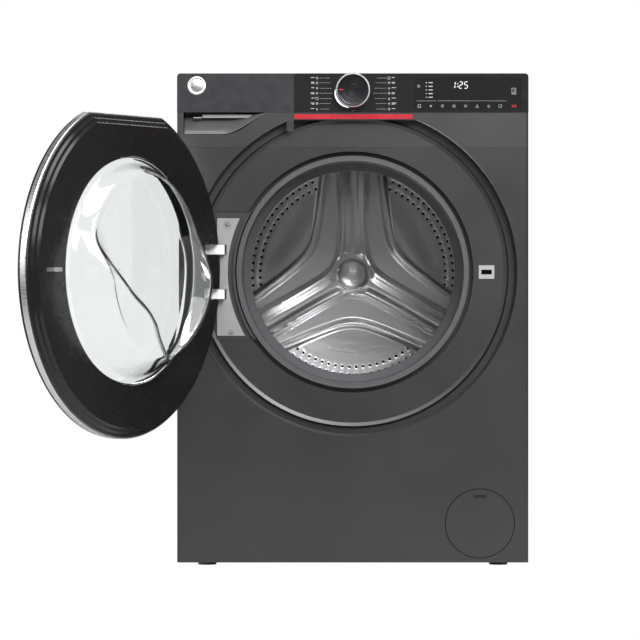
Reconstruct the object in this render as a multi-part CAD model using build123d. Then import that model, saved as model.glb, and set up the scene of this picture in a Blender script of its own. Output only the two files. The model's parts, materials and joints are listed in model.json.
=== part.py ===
from build123d import *
import math
import os

# Front load washing machine, millimetres, +Z up, floor at Z 0.
# X runs to the right, Y runs into the machine, the front face looks along -Y.

# ---- overall sizes -------------------------------------------------------
CABINET_W = 600.0
TOTAL_H = 850.0
CABINET_D = 560.0
FLOOR_GAP = 15.0
SHEET = 1.0
PANEL_T = 2.0
CLEAR = 0.3
RUN = 0.05

# ---- bands of the front --------------------------------------------------
FASCIA_H = 66.4
TRIM_H = 59.6
FASCIA_D = 18.0
CORNER_R = 6.0
DRAWER_W = 200.0
WORKTOP_T = 18.0

# ---- door and round recess -----------------------------------------------
DOOR_CENTRE_H = 511.0
DOOR_R = 275.0
DOOR_FLAT_H = 255.0
DOOR_GAP = 7.0
DOOR_PROUD = 20.0
DOOR_INSET = 10.0
RIM_W = 13.0
GLASS_R = 187.0
GLASS_DEPTH = 62.0
RECESS_DEPTH = 14.0
CHANNEL_DEPTH = 22.0
PORT_R = 206.5
PIVOT_X = -250.0
PIVOT_V = -14.0
PIN_R = 2.2
ARM_Z = 38.0
ARM_H = 16.0
DOOR_REST_ANGLE = 121.0

# ---- hinge side and lock side --------------------------------------------
HINGE_EDGE_X = -233.0
HINGE_UP = 103.0
HINGE_DOWN = 115.0
LOCK_X = 229.0
LOCK_W = 26.6
LOCK_H = 23.0
LOCK_SLOT_W = 18.0
LOCK_SLOT_H = 8.0
HINGE_SCREWS = ((-213.0, 84.0), (-208.0, -101.0))
LUGS = ((-55.0, -48.0), (-27.0, 27.0), (48.0, 55.0))
HOOK_X = 228.0
HOOK_V = 2.0
DOOR_SCREWS = ((0.0, 209.0), (0.0, -250.0))

# ---- washing group -------------------------------------------------------
DRUM_R = 236.0
DRUM_T = 1.5
DRUM_FRONT = 130.0
DRUM_BACK = 478.0
DRUM_HOLE_R = 2.5
HOLE_ROWS = (186.0, 172.0)
HOLE_COUNT = 84
TUB_R = 254.0
TUB_T = 4.0
TUB_FRONT = 112.0
TUB_SPLIT = 300.0
TUB_BACK = 502.0
SHAFT_R = 14.7
PULLEY_R = 140.0
MOTOR_PULLEY_R = 10.0
MOTOR_X = -110.0
MOTOR_Z = 165.0
MOTOR_R = 68.0
PULLEY_V = 532.0
BEARING_R = 31.0
SPRING_X = 222.0
SPRING_V = 380.0
DAMPER_X = 150.0
DAMPER_V = 220.0
SUMP_X = 120.0
SUMP_V = 160.0
HOSE_END = 42.0

# ---- service parts -------------------------------------------------------
FILTER_X = 217.0
FILTER_Z = 81.7
FILTER_R = 59.7
FLAP_SEAM = 1.2
FLAP_HINGE_V = 1.2
FLAP_PIN_R = 0.7
FOOT_X = 255.0
FOOT_V = 150.0
PAD_R = 16.0
STUD_R = 5.0
KNOB_X = 0.5
KNOB_DROP = 29.0
KNOB_R = 27.0
WINDOW_X0 = 104.0
WINDOW_X1 = 288.0

# ---- openings in the back -------------------------------------------------
TRANSIT_X = 175.0
TRANSIT_Z = (330.0, 700.0)
INLET_X = -230.0
INLET_Z = 768.0
OUTLET_X = -230.0
OUTLET_Z = 700.0
MAINS_X = 235.0
MAINS_Z = 775.0

# ---- levels and planes worked out from the sizes above --------------------
HALF_W = CABINET_W / 2
YF = -CABINET_D / 2
BACK_V = CABINET_D
FASCIA_Z = TOTAL_H - FASCIA_H
TRIM_Z = FASCIA_Z - TRIM_H
WORKTOP_Z = TOTAL_H - WORKTOP_T
RECESS_R = DOOR_R + DOOR_GAP
FLAT_Z = DOOR_CENTRE_H + DOOR_FLAT_H
CHORD_Z = FLAT_Z + 5.0
KNOB_Z = TOTAL_H - KNOB_DROP
DRAWER_X1 = -HALF_W + DRAWER_W
TRAY_X0 = -HALF_W + 12.0
TRAY_X1 = DRAWER_X1 - 12.0
TRAY_Z0 = FASCIA_Z + 2.4
TRAY_Z1 = WORKTOP_Z - 4.0
TRAY_D = 232.0
GRIP_X0 = -HALF_W + 11.0
GRIP_X1 = DRAWER_X1 - 34.0
GRIP_Z = FASCIA_Z - 38.0
SIDE_V = FASCIA_D
STRIP_Z0 = CHORD_Z + 1.0
STRIP_Z1 = STRIP_Z0 + 8.3
WINDOW_Z0 = FASCIA_Z + 5.0
WINDOW_Z1 = TOTAL_H - 7.0
DAMPER_TOP = DOOR_CENTRE_H - math.sqrt(TUB_R ** 2 - DAMPER_X ** 2) - 16.0
SPRING_Z0 = DOOR_CENTRE_H + math.sqrt(TUB_R ** 2 - SPRING_X ** 2) + 22.0
SPRING_Z1 = WORKTOP_Z - 22.0
SUMP_Z = DOOR_CENTRE_H - math.sqrt(TUB_R ** 2 - SUMP_X ** 2) - 16.0
FLAP_HINGE_Z = FILTER_Z - FILTER_R + 8.0


def block(x0, x1, v0, v1, z0, z1):
    """A box from its limits, v counted back from the front plane."""
    size = Box(x1 - x0, v1 - v0, z1 - z0)
    return Pos((x0 + x1) / 2, YF + (v0 + v1) / 2, (z0 + z1) / 2) * size


def rod(x, z, r, v0, v1):
    """A round bar running front to back."""
    bar = Rot(90, 0, 0) * Cylinder(r, v1 - v0)
    return Pos(x, YF + (v0 + v1) / 2, z) * bar


def post(x, v, r, z0, z1):
    """An upright round bar."""
    return Pos(x, YF + v, (z0 + z1) / 2) * Cylinder(r, z1 - z0)


def slab(outline, v0, v1):
    """A front view outline given thickness from v0 to v1."""
    body = Rot(90, 0, 0) * extrude(outline, amount=v1 - v0)
    return Pos(0, YF + v1, 0) * body


def turned(points, x=0.0, z=DOOR_CENTRE_H):
    """A ring turned about a front to back axis from (radius, v) points."""
    face = make_face(Polyline(*points, close=True))
    return Pos(x, YF, z) * revolve(face, axis=Axis.Y, revolution_arc=360)


def sheet_ring(points, width, bend):
    """A turned ring of even thickness that follows a bent centre line."""
    line = FilletPolyline(*points, radius=bend)
    face = trace(line, line_width=width)
    return Pos(0, YF, DOOR_CENTRE_H) * revolve(face, axis=Axis.Y, revolution_arc=360)


def unit_normal(a, b):
    """The unit vector square to the line from a to b."""
    run = math.hypot(b[0] - a[0], b[1] - a[1])
    return ((a[1] - b[1]) / run, (b[0] - a[0]) / run)


def mitred_ring(points, width):
    """A turned ring of even thickness whose bends are sharp mitres."""
    sides = [unit_normal(a, b) for a, b in zip(points, points[1:])]
    before = [sides[0]] + sides
    after = sides + [sides[-1]]
    outer = []
    inner = []
    for (r, v), a, b in zip(points, before, after):
        reach = width / 2 / (1 + a[0] * b[0] + a[1] * b[1])
        nr = (a[0] + b[0]) * reach
        nv = (a[1] + b[1]) * reach
        outer.append((r + nr, v + nv))
        inner.append((r - nr, v - nv))
    return turned(outer + inner[::-1])


def rect(x0, x1, z0, z1):
    return Pos((x0 + x1) / 2, (z0 + z1) / 2) * Rectangle(x1 - x0, z1 - z0)


def disc(x, z, r):
    return Pos(x, z) * Circle(r)


def below(z, reach=1200.0):
    """Everything lower than z."""
    return Pos(0, 0, z - reach / 2) * Box(reach, reach, reach)


def above(z, reach=1200.0):
    """Everything higher than z."""
    return Pos(0, 0, z + reach / 2) * Box(reach, reach, reach)


def as_opened(shape):
    """Turns a door piece about the hinge pin to where it rests."""
    pin = Pos(PIVOT_X, YF + PIVOT_V, 0)
    return pin * (Rot(0, 0, -DOOR_REST_ANGLE) * (pin.inverse() * shape))


def save(shape, name):
    solids = shape.solids()
    if len(solids) == 1:
        shape = solids[0]
    else:
        shape = Compound(children=list(solids))
    shape.label = name
    export_step(shape, "parts/" + name + ".step")


# ---- cabinet -------------------------------------------------------------
def dish():
    """The stepped round recess, from its outer wall to the port edge."""
    half = PANEL_T / 2
    line = (
        (RECESS_R, 0.3),
        (RECESS_R - 4.0, CHANNEL_DEPTH),
        (RECESS_R - 15.0, CHANNEL_DEPTH),
        (RECESS_R - 19.0, RECESS_DEPTH - 0.5),
        (RECESS_R - 24.0, RECESS_DEPTH + half),
        (PORT_R + half, RECESS_DEPTH + half),
        (PORT_R + half, RECESS_DEPTH + 16.0),
        (PORT_R - 9.0, RECESS_DEPTH + 16.0),
    )
    return mitred_ring(line, PANEL_T)


def front_shell(z0, z1):
    """A flat front skin with returned side edges and rounded corners."""
    outer = rect(-HALF_W, HALF_W, 0, FASCIA_D)
    outer = fillet(outer.vertices().sort_by(Axis.Y)[:2], CORNER_R)
    inner = rect(-HALF_W + PANEL_T, HALF_W - PANEL_T, PANEL_T, FASCIA_D + 1)
    inner = fillet(inner.vertices().sort_by(Axis.Y)[:2], CORNER_R - PANEL_T)
    body = extrude(outer - inner, amount=z1 - z0)
    return Pos(0, YF, z0) * body


def front_panel():
    body = front_shell(FLOOR_GAP, TRIM_Z - CLEAR)
    body -= rod(0, DOOR_CENTRE_H, RECESS_R, -1, PANEL_T + 1)
    ring = dish() & below(TRIM_Z - CLEAR)
    body += ring
    zc = DOOR_CENTRE_H
    gap = CLEAR
    body -= block(HINGE_EDGE_X - gap, -PORT_R + 60, 5, 60, zc - HINGE_DOWN - gap, zc + HINGE_UP + gap)
    lock_hw = LOCK_W / 2 + gap
    lock_hh = LOCK_H / 2 + gap
    body -= block(LOCK_X - lock_hw, LOCK_X + lock_hw, 5, 40, zc - lock_hh, zc + lock_hh)
    body -= rod(FILTER_X, FILTER_Z, FILTER_R, -1, PANEL_T + 1)
    for side in (-1, 1):
        x = FILTER_X + side * 33.5
        body += block(x - 2.5, x + 2.5, PANEL_T - 0.5, FLAP_HINGE_V + 2.2, FLAP_HINGE_Z - 4, FLAP_HINGE_Z + 1.8)
    body -= cross_bar(FLAP_PIN_R + RUN, 74)
    return max(body.solids(), key=lambda s: s.volume)


def cross_bar(r, length):
    """A round bar on the flap's hinge axis."""
    bar = Rot(0, 90, 0) * Cylinder(r, length)
    return Pos(FILTER_X, YF + FLAP_HINGE_V, FLAP_HINGE_Z) * bar


def grip_outline(grow):
    """The finger recess: square at the side, swept up to the right."""
    z0 = GRIP_Z - grow
    z1 = FASCIA_Z + 1
    x0 = GRIP_X0 - grow
    x1 = GRIP_X1 + grow
    start = (x0 + 66.0, z0)
    sweep = Spline(start, (x1, z1), tangents=((1, 0), (1, 0.12)))
    rest = Polyline((x1, z1), (x0, z1), (x0, z0), start)
    return make_face([sweep, rest])


def upper_front_trim():
    top = FASCIA_Z - CLEAR
    body = front_shell(TRIM_Z, top)
    opening = rod(0, DOOR_CENTRE_H, RECESS_R, -1, PANEL_T + 1) & below(CHORD_Z)
    body -= opening
    ring = dish() & above(TRIM_Z)
    body += ring & below(CHORD_Z + PANEL_T / 2)
    half_chord = math.sqrt((RECESS_R + 2.0) ** 2 - (CHORD_Z - DOOR_CENTRE_H) ** 2)
    body += block(-half_chord, half_chord, 0.4, CHANNEL_DEPTH + 1.5, CHORD_Z - 0.6, CHORD_Z + PANEL_T)
    body -= block(DRAWER_X1, -DRAWER_X1 + 2, -1, 1.5, STRIP_Z0, STRIP_Z1)
    shell = slab(grip_outline(PANEL_T), 0.5, 26) - slab(grip_outline(0), -1, 24)
    body = body - slab(grip_outline(0), -1, 3) + (shell & below(top))
    return max(body.solids(), key=lambda s: s.volume)


def red_accent_strip():
    return block(DRAWER_X1 + 0.2, -DRAWER_X1 + 1.8, -0.6, 1.5, STRIP_Z0 + 0.1, STRIP_Z1 - 0.1)


def side_panel(side):
    x0 = HALF_W - SHEET
    wall = block(x0, HALF_W, SIDE_V, BACK_V, FLOOR_GAP, WORKTOP_Z)
    wall += block(x0 - 18, x0 + 0.5, BACK_V - 2 * SHEET, BACK_V - SHEET, FLOOR_GAP, WORKTOP_Z)
    wall += block(x0 - 14, x0 + 0.5, 90, BACK_V - SHEET, WORKTOP_Z - SHEET, WORKTOP_Z)
    if side < 0:
        wall = mirror(wall, about=Plane.YZ)
    return wall


def rear_panel():
    edge = HALF_W - SHEET
    plate = block(-edge, edge, BACK_V - SHEET, BACK_V, FLOOR_GAP, WORKTOP_Z - 1)
    plate -= rod(0, DOOR_CENTRE_H, 150, BACK_V - 5, BACK_V + 5)
    for side in (-1, 1):
        for z in TRANSIT_Z:
            plate -= rod(side * TRANSIT_X, z, 14, BACK_V - 5, BACK_V + 5)
    plate -= rod(INLET_X, INLET_Z, 15, BACK_V - 5, BACK_V + 5)
    plate -= rod(OUTLET_X, OUTLET_Z, 13, BACK_V - 5, BACK_V + 5)
    plate -= rod(MAINS_X, MAINS_Z, 11, BACK_V - 5, BACK_V + 5)
    for k in range(6):
        z = 60 + k * 14
        plate -= block(-60, 60, BACK_V - 5, BACK_V + 5, z, z + 5)
    return plate


def rear_service_cover():
    v = BACK_V
    line = ((166, v), (166, v + 2), (150, v + 3), (138, v + 12), (0, v + 12),
            (0, v + 10), (136, v + 10), (148, v + 1.5), (148, v - 0), (160, v))
    cover = turned(line)
    ribs = [block(-90, 90, v + 11, v + 13.5, DOOR_CENTRE_H + k * 30 - 3, DOOR_CENTRE_H + k * 30 + 3)
            for k in (-2, -1, 0, 1, 2)]
    for rib in ribs:
        cover += rib
    return cover


def transit_caps():
    caps = Part()
    for side in (-1, 1):
        for z in TRANSIT_Z:
            cap = rod(side * TRANSIT_X, z, 18, BACK_V, BACK_V + 4)
            cap += rod(side * TRANSIT_X, z, 14 - 0.2, BACK_V - 10, BACK_V)
            cap -= rod(side * TRANSIT_X, z, 10, BACK_V - 11, BACK_V + 2)
            caps += cap
    return caps


def worktop():
    plate = rect(-HALF_W, HALF_W, -CABINET_D / 2 + FASCIA_D + CLEAR, CABINET_D / 2)
    plate = fillet(plate.vertices(), 4)
    board = Pos(0, 0, WORKTOP_Z) * extrude(plate, amount=WORKTOP_T)
    board = chamfer(board.edges().group_by(Axis.Z)[-1], 1.5)
    return board


def base_tray():
    x = HALF_W - SHEET
    v0 = PANEL_T
    v1 = BACK_V - 2 * SHEET
    body = block(-x, x, FASCIA_D, v1, FLOOR_GAP, FLOOR_GAP + 30)
    body += block(-x + 8, x - 8, v0, FASCIA_D + 1, FLOOR_GAP, FLOOR_GAP + 5)
    body -= block(-x + 3, x - 3, FASCIA_D + 3, v1 - 3, FLOOR_GAP + 3, FLOOR_GAP + 31)
    for side in (-1, 1):
        for v in (FOOT_V, BACK_V - FOOT_V):
            body += post(side * FOOT_X, v, 14, FLOOR_GAP, FLOOR_GAP + 20)
            body -= post(side * FOOT_X, v, STUD_R + RUN, FLOOR_GAP - 1, FLOOR_GAP + 21)
    return body


def top_brace(v0, v1):
    x = HALF_W - SHEET
    bar = block(-x, x, v0, v1, WORKTOP_Z - 16, WORKTOP_Z - SHEET)
    bar -= block(-x + 4, x - 4, v0 + 1.5, v1 - 1.5, WORKTOP_Z - 17, WORKTOP_Z - 2 * SHEET - 0.5)
    return bar


def foot(side, v):
    pad = post(side * FOOT_X, v, PAD_R, 0, 8)
    pad = chamfer(pad.edges().group_by(Axis.Z)[-1], 2)
    pad += post(side * FOOT_X, v, STUD_R, 7, FLOOR_GAP + 32)
    return pad


# ---- fascia --------------------------------------------------------------
def fascia_outline(x0, x1, round_right):
    face = rect(x0, x1, FASCIA_Z, TOTAL_H)
    corners = face.vertices().sort_by(Axis.X)
    pick = corners[-2:] if round_right else corners[:2]
    top = [c for c in pick if c.Y > TOTAL_H - 1]
    return fillet(top, CORNER_R)


def control_panel():
    x0 = DRAWER_X1 + CLEAR
    body = slab(fascia_outline(x0, HALF_W, True), -1, FASCIA_D)
    body -= block(x0 + 2.5, HALF_W - 2.5, 1.5, FASCIA_D + 1, FASCIA_Z + 2.5, TOTAL_H - 2.5)
    body -= rod(KNOB_X, KNOB_Z, 8 + RUN, -2, 3)
    body -= block(WINDOW_X0, WINDOW_X1, -2, 0.5, WINDOW_Z0, WINDOW_Z1)
    return body


def display_window():
    face = rect(WINDOW_X0 + 0.2, WINDOW_X1 - 0.2, WINDOW_Z0 + 0.2, WINDOW_Z1 - 0.2)
    return slab(face, -1.2, 0.5)


def programme_knob():
    cap = rod(KNOB_X, KNOB_Z, KNOB_R - 0.3, -19, -4)
    cap = chamfer(cap.edges().group_by(Axis.Y)[0], 1.2)
    cap += rod(KNOB_X, KNOB_Z, 8, -5, 6)
    cap += block(KNOB_X - KNOB_R + 3, KNOB_X - KNOB_R + 13, -19.8, -18, KNOB_Z - 0.8, KNOB_Z + 0.8)
    return cap


def knob_trim_ring():
    line = ((KNOB_R - 0.3, -15), (KNOB_R + 1.7, -15), (KNOB_R + 2.6, -13), (KNOB_R + 2.6, -4), (KNOB_R - 0.3, -4))
    return turned(line, KNOB_X, KNOB_Z)


def knob_light_ring():
    line = ((KNOB_R + 1, -3.4), (KNOB_R + 7, -3.4), (KNOB_R + 7, -1), (KNOB_R + 1, -1))
    ring = turned(line, KNOB_X, KNOB_Z)
    return ring & below(TOTAL_H - 2)


# ---- detergent drawer ----------------------------------------------------
def drawer_front():
    x1 = DRAWER_X1
    body = slab(fascia_outline(-HALF_W, x1, False), 0, FASCIA_D)
    body -= block(-HALF_W + 16, x1 - 8, 5, FASCIA_D - 3, FASCIA_Z - 1, FASCIA_Z + 20)
    return body


def drawer_tray():
    v0 = FASCIA_D
    body = block(TRAY_X0, TRAY_X1, v0, v0 + TRAY_D, TRAY_Z0, TRAY_Z1)
    span = TRAY_X1 - TRAY_X0
    left = TRAY_X0 + 2
    mid = TRAY_X0 + span * 0.42
    right = TRAY_X1 - 2
    body -= block(left, mid - 1, v0 + 2, v0 + TRAY_D - 2, TRAY_Z0 + 2, TRAY_Z1 + 1)
    body -= block(mid + 1, right, v0 + 2, v0 + TRAY_D * 0.55, TRAY_Z0 + 2, TRAY_Z1 + 1)
    body -= block(mid + 1, right, v0 + TRAY_D * 0.55 + 2, v0 + TRAY_D - 2, TRAY_Z0 + 2, TRAY_Z1 + 1)
    return body


def siphon_cap():
    v0 = FASCIA_D
    span = TRAY_X1 - TRAY_X0
    x0 = TRAY_X0 + span * 0.42 + 1
    x1 = TRAY_X1 - 2
    v = v0 + TRAY_D * 0.55 + 2
    body = block(x0, x1, v, v + 24, TRAY_Z1 - 6, TRAY_Z1 - 2)
    body += block(x0 + 20, x0 + 34, v + 6, v + 20, TRAY_Z0 + 2, TRAY_Z1 - 4)
    return body


def dispenser_housing():
    x0 = TRAY_X0 - 4
    x1 = TRAY_X1 + 4
    v0 = FASCIA_D + 10
    v1 = FASCIA_D + TRAY_D + 30
    body = block(x0, x1, v0, v1, TRAY_Z0 - 3.5, WORKTOP_Z - 1.3)
    body -= block(x0 + 2.5, x1 - 2.5, v0 - 1, v1 - 2.5, TRAY_Z0 - 1, WORKTOP_Z - 3.3)
    body += block(x0 + 40, x1 - 40, v1 - 70, v1 - 4, TRAY_Z0 - 16, TRAY_Z0 - 3)
    body -= block(x0 + 43, x1 - 43, v1 - 67, v1 - 7, TRAY_Z0 - 14, TRAY_Z0 + 1)
    return body


# ---- hinge and lock on the cabinet ---------------------------------------
def hinge_bezel():
    """Plastic housing that fills the cut-out on the hinge side."""
    zc = DOOR_CENTRE_H
    v0 = RECESS_DEPTH + 1.5
    inner = PORT_R - 5.5
    face = rect(HINGE_EDGE_X, -100, zc - HINGE_DOWN, zc + HINGE_UP) - disc(0, zc, inner)
    body = slab(face, v0, v0 + 2.5)
    lip = turned(((inner, v0 - 5), (PORT_R - 1, v0 - 5), (PORT_R - 1, v0 + 14), (inner, v0 + 14)))
    body += lip & block(-PORT_R - 9, -100, v0 - 7, v0 + 15, zc - HINGE_DOWN, zc + HINGE_UP)
    for side in (-1, 1):
        z = zc + side * ARM_Z
        body -= block(-228, -214, v0 - 10, v0 + 30, z - ARM_H / 2 - 1, z + ARM_H / 2 + 1)
    for x, dz in HINGE_SCREWS:
        body -= rod(x, zc + dz, 2.5, v0 - 2, v0 + 5)
    return max(body.solids(), key=lambda s: s.volume)


def hinge_plate():
    zc = DOOR_CENTRE_H
    face = rect(HINGE_EDGE_X + 1, -150, zc - HINGE_DOWN + 6, zc + HINGE_UP - 11)
    face -= disc(0, zc, PORT_R + 7.5)
    body = slab(face, RECESS_DEPTH, RECESS_DEPTH + 1.5)
    for side in (-1, 1):
        z = zc + side * ARM_Z
        body -= block(-226, -216, 5, 30, z - ARM_H / 2 - 0.6, z + ARM_H / 2 + 0.6)
    for x, dz in HINGE_SCREWS:
        body -= rod(x, zc + dz, 2.5, 5, 30)
    return max(body.solids(), key=lambda s: s.volume)


def hinge_screws():
    group = Part()
    v = RECESS_DEPTH
    for x, dz in HINGE_SCREWS:
        z = DOOR_CENTRE_H + dz
        screw = rod(x, z, 4.6, v - 3, v)
        screw = chamfer(screw.edges().group_by(Axis.Y)[0], 0.8)
        screw += rod(x, z, 2.5, v - 0.1, v + 12)
        screw -= block(x - 3, x + 3, v - 4, v - 1.6, z - 0.6, z + 0.6)
        screw -= block(x - 0.6, x + 0.6, v - 4, v - 1.6, z - 3, z + 3)
        group += screw
    return group


def hinge_arms():
    """Two goosenecks on one bracket, each ending in an eye round the pin."""
    x = PIVOT_X
    v = PIVOT_V
    line = FilletPolyline((x, v), (x + 14, v), (x + 29, v + 14), (x + 29, 46), radius=4)
    flat = trace(line, line_width=4.4)
    flat = flat + Pos(x, v) * Circle(PIN_R + 2.2)
    flat = flat - Pos(x, v) * Circle(PIN_R + RUN)
    body = Part()
    for side in (-1, 1):
        z = DOOR_CENTRE_H + side * ARM_Z - ARM_H / 2
        body += Pos(0, YF, z) * extrude(flat, amount=ARM_H)
    z0 = DOOR_CENTRE_H - ARM_Z - ARM_H / 2
    z1 = DOOR_CENTRE_H + ARM_Z + ARM_H / 2
    body += block(x + 27, x + 31, 30, 46, z0, z1)
    body += block(x + 22, x + 31, 18.1, 32, DOOR_CENTRE_H - 26, DOOR_CENTRE_H + 26)
    return body


def lock_plate():
    zc = DOOR_CENTRE_H
    v = RECESS_DEPTH
    body = block(LOCK_X - LOCK_W / 2, LOCK_X + LOCK_W / 2, v - 0.6, v + 2, zc - LOCK_H / 2, zc + LOCK_H / 2)
    w = LOCK_SLOT_W / 2
    h = LOCK_SLOT_H / 2
    body -= block(LOCK_X - w, LOCK_X + w, v - 2, v + 3, zc - h, zc + h)
    return body


def door_lock():
    zc = DOOR_CENTRE_H
    v = RECESS_DEPTH + 2
    body = block(LOCK_X - 17, LOCK_X + 17, v, v + 2, zc - 30, zc + 30)
    body += block(LOCK_X - 15, LOCK_X + 25, v + 1, v + 36, zc - 26, zc + 40)
    w = LOCK_SLOT_W / 2
    h = LOCK_SLOT_H / 2
    body -= block(LOCK_X - w - 3, LOCK_X + w + 3, v - 1, v + 22, zc - h - 1, zc + h + 1)
    return body


# ---- door, drawn closed then turned to its resting angle ------------------
def flat_topped(shape):
    return shape & below(FLAT_Z)


def arm_notches(v0, v1):
    cuts = Part()
    for side in (-1, 1):
        z = DOOR_CENTRE_H + side * ARM_Z
        cuts += block(PIVOT_X - 30, PIVOT_X + 38, v0, v1, z - ARM_H / 2 - 1.2, z + ARM_H / 2 + 1.2)
    return cuts


def along_flat(points, half):
    """The section of a ring run straight along the flat top of the door."""
    drop = FLAT_Z - DOOR_R
    face = make_face(Polyline(*[(YF + v, drop + r) for r, v in points], close=True))
    return extrude(Plane.YZ * face, amount=half, both=True)


def door_inner_frame():
    r = DOOR_R
    v = DOOR_INSET
    edge = ((r - 18, v), (r - 15.5, v - 4.5), (r - 10.5, v - 5.5), (r - 8, v - 10), (r - 3, v - 11), (r - 3, v - 14))
    inside = ((r - 12, v - 14), (r - 13.5, v - 8), (r - 19, v - 3))
    face = ((GLASS_R + 4, v - 3), (GLASS_R + 4, v - 10), (GLASS_R, v - 10), (GLASS_R, v))
    core = ((r - 40, v - 3), (r - 40, v))
    full = turned(((0, v),) + edge + ((0, v - 14),))
    roof = along_flat(((r - 700, v),) + edge + ((r - 700, v - 14),), 400)
    body = turned(edge + inside + face) & roof
    body += along_flat(edge + inside + core, 150) & full
    body -= arm_notches(-13, v + 1)
    for z0, z1 in LUGS:
        body += block(PIVOT_X - 4, PIVOT_X + 4, PIVOT_V - 3.8, v - 2, DOOR_CENTRE_H + z0, DOOR_CENTRE_H + z1)
    body -= post(PIVOT_X, PIVOT_V, PIN_R, DOOR_CENTRE_H - 56, DOOR_CENTRE_H + 56)
    body -= block(HOOK_X - 9, HOOK_X + 9, -6, v + 1, DOOR_CENTRE_H - 5, DOOR_CENTRE_H + 5)
    for side in (-1, 1):
        body += block(HOOK_X - 7, HOOK_X + 7, v - 12, v - 2, DOOR_CENTRE_H + side * 7.5 - 2, DOOR_CENTRE_H + side * 7.5 + 2)
    body -= post(HOOK_X, HOOK_V, 1.5 + RUN, DOOR_CENTRE_H - 9.6, DOOR_CENTRE_H + 9.6)
    for x, z in DOOR_SCREWS:
        body -= rod(x, DOOR_CENTRE_H + z, 2.0, v - 6, v + 1)
    return max(body.solids(), key=lambda s: s.volume)


def door_rim():
    r = DOOR_R
    back = DOOR_INSET - 14
    edge = ((r - 1, back), (r, back - 1), (r, -14), (r - 1, -14.8))
    inside = ((r - RIM_W, -14.8), (r - RIM_W, back - 1), (r - 12, back))
    full = turned(((0, back),) + edge + ((0, -14.8),))
    roof = along_flat(((r - 700, back),) + edge + ((r - 700, -14.8),), 400)
    body = turned(edge + inside) & roof
    body += along_flat(edge + inside, 150) & full
    body -= arm_notches(-12.9, DOOR_INSET - 12)
    body -= block(PIVOT_X - 5, PIVOT_X + 7, -16, 0, DOOR_CENTRE_H - 56, DOOR_CENTRE_H + 56)
    return max(body.solids(), key=lambda s: s.volume)


def door_cover():
    """Dark outer ring that carries the window and hides the hinge."""
    r = DOOR_R - 1
    v = -DOOR_PROUD
    pts = ((r, -14.8), (r, v + 1.5), (r - 1.5, v), (r - 28, v), (r - 28, v + 3),
           (GLASS_R, v + 3), (GLASS_R, -14.8))
    body = flat_topped(turned(pts))
    body -= arm_notches(-17, -14) & block(PIVOT_X + 4, PIVOT_X + 40, -30, 0, 0, TOTAL_H)
    body -= block(PIVOT_X - 6, PIVOT_X + 6, -18.8, -14, DOOR_CENTRE_H - 56, DOOR_CENTRE_H + 56)
    return max(body.solids(), key=lambda s: s.volume)


def door_window():
    """Slightly domed clear outer pane."""
    r = DOOR_R - 29.3
    v = -DOOR_PROUD
    steps = [k / 8 for k in range(9)]
    front = [(r * a, v - 5.0 * (1 - a * a)) for a in steps]
    back = [(r * a, v + 3 - 5.0 * (1 - a * a)) for a in reversed(steps)]
    return turned(front + back)


def door_glass():
    """Clear bowl, bulging further into the lower half."""
    r = GLASS_R
    v = DOOR_INSET
    d = GLASS_DEPTH
    t = 4.0
    outer = ((r - 0.4, v - 4), (r - 0.4, v), (r - 13, v + 1), (r - 24, v + d * 0.45), (r - 42, v + d * 0.86),
             (r - 72, v + d), (0, v + d))
    inner = ((0, v + d - t), (r - 74, v + d - t), (r - 46, v + d * 0.86 - t), (r - 28, v + d * 0.45 - 1), (r - 17, v - 4))
    bowl = turned(outer + inner)
    return bowl


def door_hook():
    zc = DOOR_CENTRE_H
    tip = DOOR_INSET + 21
    body = block(HOOK_X - 4, HOOK_X + 4, HOOK_V - 3.5, tip, zc - 3.2, zc + 3.2)
    barb = Polyline((HOOK_X + 4, tip - 7), (HOOK_X + 8, tip - 7), (HOOK_X + 4, tip), close=True)
    wedge = extrude(make_face(barb), amount=6.4)
    body += Pos(0, YF, zc - 3.2) * wedge
    body += post(HOOK_X, HOOK_V, 4.4, zc - 3.2, zc + 3.2)
    body += post(HOOK_X, HOOK_V, 1.5, zc - 9.4, zc + 9.4)
    return body


def hinge_pin():
    return post(PIVOT_X, PIVOT_V, PIN_R, DOOR_CENTRE_H - 54.5, DOOR_CENTRE_H + 54.5)


def door_screws():
    group = Part()
    v = DOOR_INSET
    for x, dz in DOOR_SCREWS:
        z = DOOR_CENTRE_H + dz
        screw = rod(x, z, 3.6, v, v + 1.6) + rod(x, z, 2.0, v - 3, v + 0.1)
        screw -= block(x - 2.2, x + 2.2, v + 0.8, v + 2, z - 0.5, z + 0.5)
        screw -= block(x - 0.5, x + 0.5, v + 0.8, v + 2, z - 2.2, z + 2.2)
        group += screw
    return group


# ---- gasket and tub ------------------------------------------------------
def gasket():
    bead = PORT_R - 12
    line = ((bead + 3, 16), (bead - 3, 20), (bead - 3, 46), (bead - 5, 60), (bead - 17, 74),
            (bead - 17, 80), (bead - 6, 92), (bead + 6, 84), (bead + 8.6, 92), (bead + 8.6, 112))
    body = sheet_ring(line, 3.0, 1.4)
    v = RECESS_DEPTH
    body += turned(((bead - 4, v + 1), (bead + 4.5, v + 1), (bead + 4.5, v + 15), (bead - 4, v + 15)))
    return body


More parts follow.
